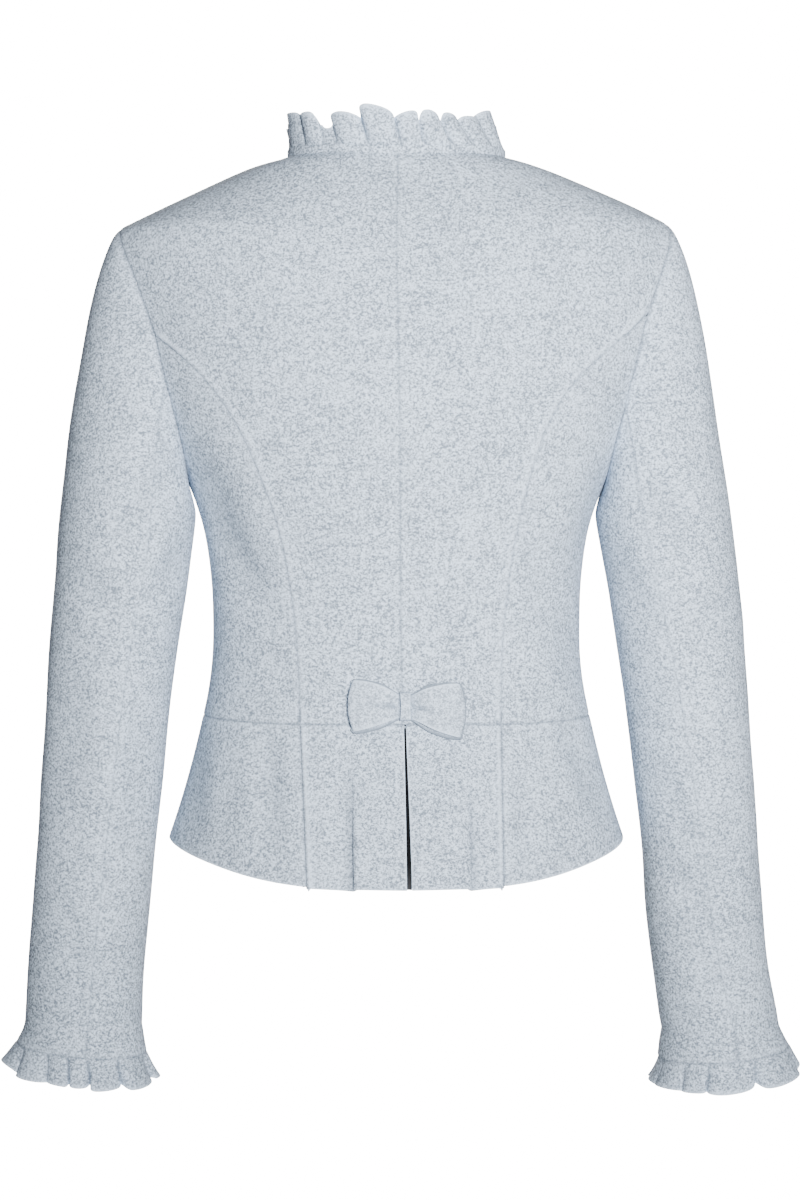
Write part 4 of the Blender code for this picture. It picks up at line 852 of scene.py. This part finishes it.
def give_thickness(piece, thick):
    """The wall behind the outside, with round free edges."""
    apply_modifier(piece, "SOLIDIFY", thickness=thick, offset=-1, use_rim=True, material_offset=1)
    with editing(piece.data) as work:
        weight = work.edges.layers.float.new("bevel_weight_edge")
        rim = work.verts.layers.float["rim"]
        for edge in work.edges:
            if len(edge.link_faces) == 2 and edge.calc_face_angle() > WALL_ANGLE:
                free = min(vert[rim] for vert in edge.verts) > 0.5
                edge[weight] = 1.0 if free else SEWN_ROUND
    apply_modifier(piece, "BEVEL", width=FREE_ROUND, segments=2, limit_method="WEIGHT")
    only(piece)
    bpy.ops.object.shade_smooth_by_angle(angle=SMOOTH_ANGLE)


cloth = {}
for sheet in SHEETS:
    piece = merged_copy(sheet.node, "cloth_" + sheet.node)
    outer_face(piece, sheet.node)
    seam_strip(piece)
    apply_modifier(piece, "SUBSURF", levels=sheet.levels, render_levels=sheet.levels)
    cloth[sheet.node] = piece

surfaces = {name: Surface(piece) for name, piece in cloth.items()}
neighbours = seam_neighbours(surfaces)
for _ in range(2):
    sew(surfaces)
for sheet in SHEETS:
    surface = surfaces[sheet.node]
    # dark: the seam lines with the painted shade of grooves, creases, pleats, the slit and the band
    # seam.
    heights, dark, light = pressed(sheet.node, surface, neighbours[sheet.node])
    inside = smooth(surface.distance / EDGE_CALM)
    heights += uneven(surface.points) * inside
    crease, hollow = creased(sheet.node, surface)
    heights += crease * (CREASE_AT_EDGE + (1 - CREASE_AT_EDGE) * inside)
    dark = np.maximum(dark, hollow)
    if sheet.node.startswith("peplum_back"):
        fold, hollow = pleated(surface)
        heights += fold * smooth(surface.distance / 0.003 + 0.4)
        dark = np.maximum(dark, hollow)
    if sheet.node.startswith("cuff"):
        heights += flared(surface, sheet.node)
        line = band_seam(surface, sheet.node)
        heights -= BAND_SEAM_DEPTH * line
        # the band seam's dark line: painted shade with the matted seam
        dark = np.maximum(dark, BAND_SEAM_DARK * line)
    surface.move(heights)
    for start, lift, reach in HEM_SETS:
        if sheet.node.startswith(start):
            surface.points[:, 2] += hem_set(surface, lift, reach)
    # Painted highlight along the free edges, together with the painted highlight on the seams'
    # ridges.
    free = np.array([n is None for n in neighbours[sheet.node]])
    free &= not sheet.node.startswith(("neck", "cuff"))
    rim = np.exp(-(surface.distance / EDGE_HIGHLIGHT) ** 2) * free
    surface.store(dark, np.maximum(rim, light))
for frill in FRILLS:
    cloth[frill.node] = make_frill(frill, surfaces[frill.band])


def back_form():
    """A smooth form through the back under the bow: gives a point on it, and off it by a lift."""
    found = []
    for name in ("back_left", "back_right", "peplum_back_left", "peplum_back_right"):
        points = surfaces[name].points
        near = (np.abs(points[:, 0] - BOW_MIDDLE[0]) < 60 * MM) & \
            (np.abs(points[:, 2] - BOW_MIDDLE[1]) < 32 * MM)
        found.append(points[near])
    x, y, z = np.concatenate(found).T
    terms = np.array([np.ones_like(x), x, z, x * x, z * z, x * z]).T
    a, b, c, d, e, f = np.linalg.lstsq(terms, y, rcond=None)[0]

    def on_back(out, level, lift):
        x, z = BOW_MIDDLE[0] + out * MM, BOW_MIDDLE[1] + level * MM
        y = a + b * x + c * z + d * x * x + e * z * z + f * x * z
        normal = Vector((-(b + 2 * d * x + f * z), 1, -(c + 2 * e * z + f * x))).normalized()
        return Vector((x, y, z)) + normal * (lift + 0.5) * MM

    return on_back


def make_bow(on_back):
    ribbon = np.array(BOW_RIBBON, float)
    count = len(ribbon)
    path = []
    for i in range(count):
        p0, p1, p2, p3 = (ribbon[(i + step) % count] for step in (-1, 0, 1, 2))
        for t in np.arange(BOW_STEPS) / BOW_STEPS:
            path.append(0.5 * (2 * p1 + (p2 - p0) * t + (2 * p0 - 5 * p1 + 4 * p2 - p3) * t * t
                               + (3 * p1 - p0 - 3 * p2 + p3) * t**3))
    grid, pinched = [], []
    shares = np.linspace(-1, 1, BOW_ROWS)
    for share in shares:
        row, darker = [], []
        for out, lift, half, middle in path:
            hollow = 0.0
            level = middle + share * (half + (BOW_SHADOW_BAND if lift < BOW_FRONT else 0))
            out *= 1 - BOW_END_ROUND * share**2 * min(abs(out) / 40, 1) ** 2
            if lift > BOW_FRONT:
                for pinch in BOW_PINCHES:
                    start = np.array([pinch.out0, pinch.level0])
                    run = np.array([pinch.out1, pinch.level1]) - start
                    t = np.dot(np.array([out, level]) - start, run) / np.dot(run, run)
                    foot = start + run * min(max(t, 0), 1)
                    gap = math.hypot(out - foot[0], level - foot[1]) / pinch.width
                    fade = 1 - 0.8 * min(max(t, 0), 1)
                    lift -= pinch.depth * fade * math.exp(-gap**2)
                    # painted shade in the pinch's hollow
                    hollow = max(hollow, pinch.dark * fade * math.exp(-(1.2 * gap) ** 2))
                lift -= 0.9 * share**4
            row.append(on_back(out, level, max(lift, 0.8)))
            darker.append(hollow)
        grid.append(row)
        pinched.append(darker)
    from_edge = (1 - np.abs(shares))[:, None] * 16
    out, lift = np.array(path)[:, 0], np.array(path)[:, 1]
    front = smooth((lift - 1.8) / 1.2)
    # Painted contact shadow on the hidden layer's edges, beside the knot and at the loop ends, and
    # painted shade in the pinches.
    dark = np.exp(-(from_edge / 2.2) ** 2) * (1 - front)
    knot_shadow = np.exp(-((np.abs(out) - KNOT_HALF_WIDTH - 0.7) / 0.9) ** 2) * front * 0.65
    dark = np.maximum(dark, knot_shadow)
    for end, below, over, darkest in BOW_END_SHADOWS:
        at_end = out / end > 1
        dark = np.maximum(dark, smooth((below - lift) / over) * np.where(at_end, darkest, 0))
    dark = np.maximum(dark, pinched)
    # A painted highlight along the front layer's edges, over a lighter tone on the whole ribbon.
    rim = 0.25 + 0.75 * np.exp(-(from_edge / 1.8) ** 2) * front
    return strip_mesh("bow", grid, True, dark, rim)


def make_knot(on_back):
    levels, lifts = np.array(KNOT_STRAP, float).T
    at = np.linspace(0, len(levels) - 1, KNOT_STEPS)
    levels = np.interp(at, range(len(levels)), levels)
    lifts = np.interp(at, range(len(lifts)), lifts)
    kernel = np.array([1, 2, 3, 2, 1]) / 9
    for row in (levels, lifts):
        row[2:-2] = np.convolve(row, kernel, "valid")
    grid = []
    shares = np.linspace(-1, 1, KNOT_ROWS)
    for share in shares:
        narrow = 1 - 0.06 * np.cos(np.clip(levels / 10, -1, 1) * math.pi)
        crown = 0.5 * (1 - share**2) - 0.25 * math.exp(-((share - 0.25) / 0.18) ** 2)
        grid.append([on_back(share * KNOT_HALF_WIDTH * n, level, lift + (crown if lift > 3 else 0))
                     for n, level, lift in zip(narrow, levels, lifts)])
    # Painted shade at the strap's ends, where it goes under the ribbon, and a painted highlight
    # along its edges over a lighter tone.
    edge = np.exp(-((1 - np.abs(shares)) * KNOT_HALF_WIDTH / 0.7) ** 2)[:, None]
    ends = smooth((4.5 - lifts) / 3)[None]
    return strip_mesh("bow_knot", grid, False, ends * 0.7, (0.3 + 0.6 * edge) * (1 - ends))


on_back = back_form()
cloth["bow"], cloth["bow_knot"] = make_bow(on_back), make_knot(on_back)


# ---------------------------------------------------------------- buttons

def button_model():
    """A round horn button: a raised rim, a dish inside it and a soft dome in the middle."""
    bpy.ops.object.select_all(action="DESELECT")
    edge = BUTTON_HEIGHT * 0.62
    bpy.ops.mesh.primitive_cylinder_add(vertices=32, radius=BUTTON_RADIUS, depth=edge,
                                        location=(0, 0, edge / 2))
    button = bpy.context.object
    bpy.ops.object.transform_apply(location=True)
    bpy.ops.object.mode_set(mode="EDIT")
    bpy.ops.mesh.select_mode(type="FACE")
    work = bmesh.from_edit_mesh(button.data)
    for face in work.faces:
        face.select_set(face.normal.z > 0.9)
    bmesh.update_edit_mesh(button.data)
    for inset, lift in BUTTON_TURNING:
        bpy.ops.mesh.inset(thickness=inset * MM)
        bpy.ops.transform.translate(value=(0, 0, lift * MM))
    bpy.ops.object.mode_set(mode="OBJECT")
    apply_modifier(button, "BEVEL", width=0.45 * MM, segments=2, limit_method="ANGLE",
                   angle_limit=math.radians(40))
    apply_modifier(button, "SUBSURF", levels=1, render_levels=1)
    only(button)
    bpy.ops.object.shade_smooth_by_angle(angle=math.radians(40))
    return button


def button_seat(node):
    """Where a button's back lies, turned so that it faces out of the front."""
    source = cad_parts[node].data
    points = np.array([vert.co[:] for vert in source.vertices])
    middle = points.mean(axis=0)
    facing = np.linalg.svd(points - middle)[2][2]
    facing *= -np.sign(facing[1])
    back = middle + facing * ((points - middle) @ facing).min()
    turn = Vector((0, 0, 1)).rotation_difference(Vector(facing))
    return Matrix.Translation(back) @ turn.to_matrix().to_4x4()


buttons = [button_model()]
for _ in range(4):
    button = buttons[0].copy()
    button.data = buttons[0].data.copy()
    bpy.context.scene.collection.objects.link(button)
    buttons.append(button)
for number, button in enumerate(buttons, 1):
    button.name = "horn_button_%d" % number
    button.data.transform(button_seat("button_%d" % number))
    button.data.update()


# ---------------------------------------------------------------- finishes

class Wiring:
    """Short ways to add nodes to a node tree."""

    def __init__(self, tree):
        self.tree = tree
        self.place = None

    def add(self, kind, **values):
        """A node with these values in its inputs, an underscore standing for a space."""
        node = self.tree.nodes.new(kind)
        for name, value in values.items():
            node.inputs[name.replace("_", " ")].default_value = value
        return node

    def join(self, source, target):
        self.tree.links.new(source, target)

    def grain(self, size, detail, roughness, stretch=(1, 1, 1), distortion=0.0):
        if self.place is None:
            self.place = self.add("ShaderNodeTexCoord").outputs["Object"]
        mapping = self.add("ShaderNodeMapping", Scale=stretch)
        self.join(self.place, mapping.inputs["Vector"])
        texture = self.add("ShaderNodeTexNoise", Scale=1 / size, Detail=detail,
                           Roughness=roughness, Distortion=distortion)
        self.join(mapping.outputs["Vector"], texture.inputs["Vector"])
        return texture.outputs["Fac"]

    def spread(self, value, start, end, to_start=0.0, to_end=1.0):
        node = self.add("ShaderNodeMapRange", From_Min=start, From_Max=end, To_Min=to_start,
                        To_Max=to_end)
        self.join(value, node.inputs["Value"])
        return node.outputs["Result"]

    def maths(self, operation, first, second):
        node = self.tree.nodes.new("ShaderNodeMath")
        node.operation = operation
        for socket, value in zip(node.inputs, (first, second)):
            if isinstance(value, float):
                socket.default_value = value
            else:
                self.join(value, socket)
        return node.outputs["Value"]

    def mix(self, factor, first, second):
        node = self.tree.nodes.new("ShaderNodeMix")
        node.data_type = "RGBA"
        self.join(factor, node.inputs["Factor"])
        for socket, value in ((node.inputs[6], first), (node.inputs[7], second)):
            if isinstance(value, tuple):
                socket.default_value = (*value, 1)
            else:
                self.join(value, socket)
        return node.outputs[2]

    def bump(self, height, strength, distance, shader):
        node = self.add("ShaderNodeBump", Strength=strength, Distance=distance)
        self.join(height, node.inputs["Height"])
        self.join(node.outputs["Normal"], shader.inputs["Normal"])


# The wool's tone, summed up from noises: size, detail, roughness, how flat they lie, distortion,
# the range of the noise that is used, and their share of the tone. Then what is taken off again.
Layer = namedtuple("Layer", "size detail roughness flat distortion start end share")
WOOL_TONE = [Layer(*row) for row in (
    (0.0015, 2, 0.65, 1.15, 0.5, 0.43, 0.57, 0.84),
    (0.0030, 2, 0.60, 1.3, 0.5, 0.42, 0.58, 0.46),
    (0.020, 3, 0.55, 1.7, 0.0, 0.36, 0.64, 0.16),
    (0.090, 2, 0.50, 1.3, 0.0, 0.36, 0.64, 0.10),
)]
TONE_OFF = 0.28
HIGHLIGHT_SHARE = 0.75                 # how much of the light colour a painted highlight takes on


def melange_group():
    """Felted wool: light fibres with darker flecks matted in, a cloudy tone and a short nap, under
    painted highlights and painted shade.
    """
    group = bpy.data.node_groups.new("felted_melange", "ShaderNodeTree")
    for way, name, kind in (("INPUT", "Light", "Color"), ("INPUT", "Dark", "Color"),
                            ("INPUT", "Seam", "Float"), ("INPUT", "Painted_Highlight", "Float"),
                            ("OUTPUT", "Color", "Color"), ("OUTPUT", "Roughness", "Float"),
                            ("OUTPUT", "Nap", "Float")):
        group.interface.new_socket(name=name, in_out=way, socket_type="NodeSocket" + kind)
    given = group.nodes.new("NodeGroupInput").outputs
    out = group.nodes.new("NodeGroupOutput").inputs
    wires = Wiring(group)
    noises = [wires.spread(wires.grain(layer.size, layer.detail, layer.roughness,
                                       (1, 1, layer.flat), layer.distortion),
                           layer.start, layer.end) for layer in WOOL_TONE]
    tone = wires.maths("MULTIPLY", noises[0], WOOL_TONE[0].share)
    for layer, value in zip(WOOL_TONE[1:], noises[1:]):
        tone = wires.maths("ADD", tone, wires.maths("MULTIPLY", value, layer.share))
    tone = wires.maths("SUBTRACT", tone, TONE_OFF)
    shade = wires.mix(tone, given["Dark"], given["Light"])
    # Painted highlights from the rim amount, then the seam lines and painted shade from the seam
    # amount.
    lit = wires.mix(wires.maths("MULTIPLY", given["Painted_Highlight"], HIGHLIGHT_SHARE), shade, given["Light"])
    wires.join(wires.mix(given["Seam"], lit, given["Dark"]), out["Color"])
    wires.join(wires.spread(noises[1], 0, 1, 0.85, 0.97), out["Roughness"])
    nap = wires.maths("ADD", wires.maths("MULTIPLY", wires.grain(0.0013, 3, 0.7), 0.6),
                      wires.maths("MULTIPLY", wires.grain(0.0045, 3, 0.6), 0.4))
    wires.join(nap, out["Nap"])
    return group


def finish(name, **settings):
    """A new material with these settings of its shader, the shader, and the means to wire it."""
    material = bpy.data.materials.new(name)
    material.use_nodes = True
    shader = material.node_tree.nodes["Principled BSDF"]
    for label, value in settings.items():
        shader.inputs[label.replace("_", " ")].default_value = value
    return material, shader, Wiring(material.node_tree)


def wool(name, light, dark):
    material, shader, wires = finish(name, Specular_IOR_Level=0.12, Sheen_Weight=0.02,
                                     Sheen_Roughness=0.5)
    melange = wires.tree.nodes.new("ShaderNodeGroup")
    melange.node_tree = felted_melange
    melange.inputs["Light"].default_value = (*light, 1)
    melange.inputs["Dark"].default_value = (*dark, 1)
    # The seam attribute holds the seam lines and painted shade, the rim attribute the painted
    # highlights.
    for label, socket in (("seam", "Seam"), ("rim", "Painted_Highlight")):
        attribute = wires.tree.nodes.new("ShaderNodeAttribute")
        attribute.attribute_name = label
        wires.join(attribute.outputs["Fac"], melange.inputs[socket])
    wires.bump(melange.outputs["Nap"], 0.3, 0.0005, shader)
    wires.join(melange.outputs["Color"], shader.inputs["Base Color"])
    wires.join(melange.outputs["Roughness"], shader.inputs["Roughness"])
    return material


def lining_material():
    """Dark satin with a fine slanted weave."""
    material, shader, wires = finish("navy_lining")
    weave = wires.grain(0.0009, 2, 0.5, (1, 1, 0.3))
    shade = wires.mix(wires.grain(0.03, 2, 0.5), (0.010, 0.013, 0.022), (0.020, 0.025, 0.040))
    wires.join(shade, shader.inputs["Base Color"])
    wires.join(wires.spread(weave, 0.3, 0.7, 0.42, 0.6), shader.inputs["Roughness"])
    wires.bump(weave, 0.2, 0.0003, shader)
    return material


def horn_material():
    """Grey-blue horn: cloudy streaks under a satin polish."""
    material, shader, wires = finish("grey_horn")
    streaks = wires.spread(wires.grain(0.006, 4, 0.6, (1, 1, 2.5), 1.2), 0.35, 0.65)
    shade = wires.mix(streaks, (0.10, 0.12, 0.14), (0.30, 0.33, 0.36))
    polish = wires.spread(wires.grain(0.002, 3, 0.6), 0.3, 0.7, 0.28, 0.42)
    wires.join(shade, shader.inputs["Base Color"])
    wires.join(polish, shader.inputs["Roughness"])
    return material


felted_melange = melange_group()
loden = wool("pale_blue_loden", (0.70, 0.825, 0.985), (0.200, 0.242, 0.302))
navy_lining = lining_material()
grey_horn = horn_material()

for name, piece in cloth.items():
    piece.data.materials.append(loden)
    if name.startswith(LINED) and "frill" not in name:
        piece.data.materials.append(navy_lining)
    # Painted shade in the hollows of the frills' gathers and of the bow.
    if "frill" in name or name.startswith("bow"):
        paint_shade_in_hollows(piece)
    thick = BOW_THICK if name.startswith("bow") else FRILL_THICK if "frill" in name else CLOTH_THICK
    give_thickness(piece, thick)
for held, rows in (("hung", SHEETS), ("gathered", FRILLS), ("folded", BOW_SHEETS)):
    for row in rows:
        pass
for name, piece in cloth.items():
    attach(piece, "root")
    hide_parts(name)
for number, button in enumerate(buttons, 1):
    button.data.materials.clear()
    button.data.materials.append(grey_horn)
    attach(button, "root")
    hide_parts("button_%d" % number)

# ---------------------------------------------------------------- stage, light and camera

FLOOR_RADIUS, FLOOR_HEIGHT = 1.35, -1.02
ROOM_LIGHT, SEEN_WHITE = 0.2, 18.0  # what lights the jacket, and what the camera sees behind it
CAMERA_TURNED = math.radians(2.8)
CAMERA_AWAY, CAMERA_LENS = 3.2, 133.3
CAMERA_LOOKS_AT = (-0.0025, -0.319)  # x and z

bpy.ops.object.select_all(action="DESELECT")
bpy.ops.mesh.primitive_circle_add(vertices=96, radius=FLOOR_RADIUS, fill_type="NGON",
                                  location=(0, 0, FLOOR_HEIGHT))
floor = bpy.context.object
floor.name = "studio_floor"
floor.data.materials.append(finish("pale_floor", Base_Color=(0.86, 0.86, 0.86, 1),
                                   Roughness=0.8)[0])

world = bpy.data.worlds.new("white_studio")
bpy.context.scene.world = world
world.use_nodes = True
nodes, links = world.node_tree.nodes, world.node_tree.links
soft, seen_white = nodes["Background"], nodes.new("ShaderNodeBackground")
for light, colour, strength in ((soft, (0.95, 0.98, 1.0, 1), ROOM_LIGHT),
                                (seen_white, (1, 1, 1, 1), SEEN_WHITE)):
    light.inputs["Color"].default_value = colour
    light.inputs["Strength"].default_value = strength
path = nodes.new("ShaderNodeLightPath")
mix = nodes.new("ShaderNodeMixShader")
links.new(path.outputs["Is Camera Ray"], mix.inputs["Fac"])
links.new(soft.outputs["Background"], mix.inputs[1])
links.new(seen_white.outputs["Background"], mix.inputs[2])
links.new(mix.outputs["Shader"], nodes["World Output"].inputs["Surface"])


def area_light(name, place, target, size, power, spread):
    data = bpy.data.lights.new(name, "AREA")
    data.shape = "DISK"
    data.size = size
    data.energy = power
    data.spread = math.radians(spread)
    light = bpy.data.objects.new(name, data)
    light.location = place
    light.rotation_euler = (Vector(target) - Vector(place)).to_track_quat("-Z", "Y").to_euler()
    bpy.context.scene.collection.objects.link(light)


area_light("key", place=(-0.55, 3.4, -0.15), target=(-0.14, 0, -0.09), size=0.9, power=18.1,
           spread=41)
area_light("front_fill", place=(0.3, -3.2, 0.4), target=(0, 0, -0.3), size=2.0, power=170,
           spread=180)

camera_data = bpy.data.cameras.new("camera")
camera_data.lens = CAMERA_LENS
camera_data.sensor_width = 36
camera_data.clip_end = 50
camera = bpy.data.objects.new("camera", camera_data)
middle_x, middle_z = CAMERA_LOOKS_AT
camera.location = (middle_x + CAMERA_AWAY * math.sin(CAMERA_TURNED),
                   CAMERA_AWAY * math.cos(CAMERA_TURNED), middle_z)
camera.rotation_euler = (math.pi / 2, 0, math.pi - CAMERA_TURNED)
bpy.context.scene.collection.objects.link(camera)
bpy.context.scene.camera = camera
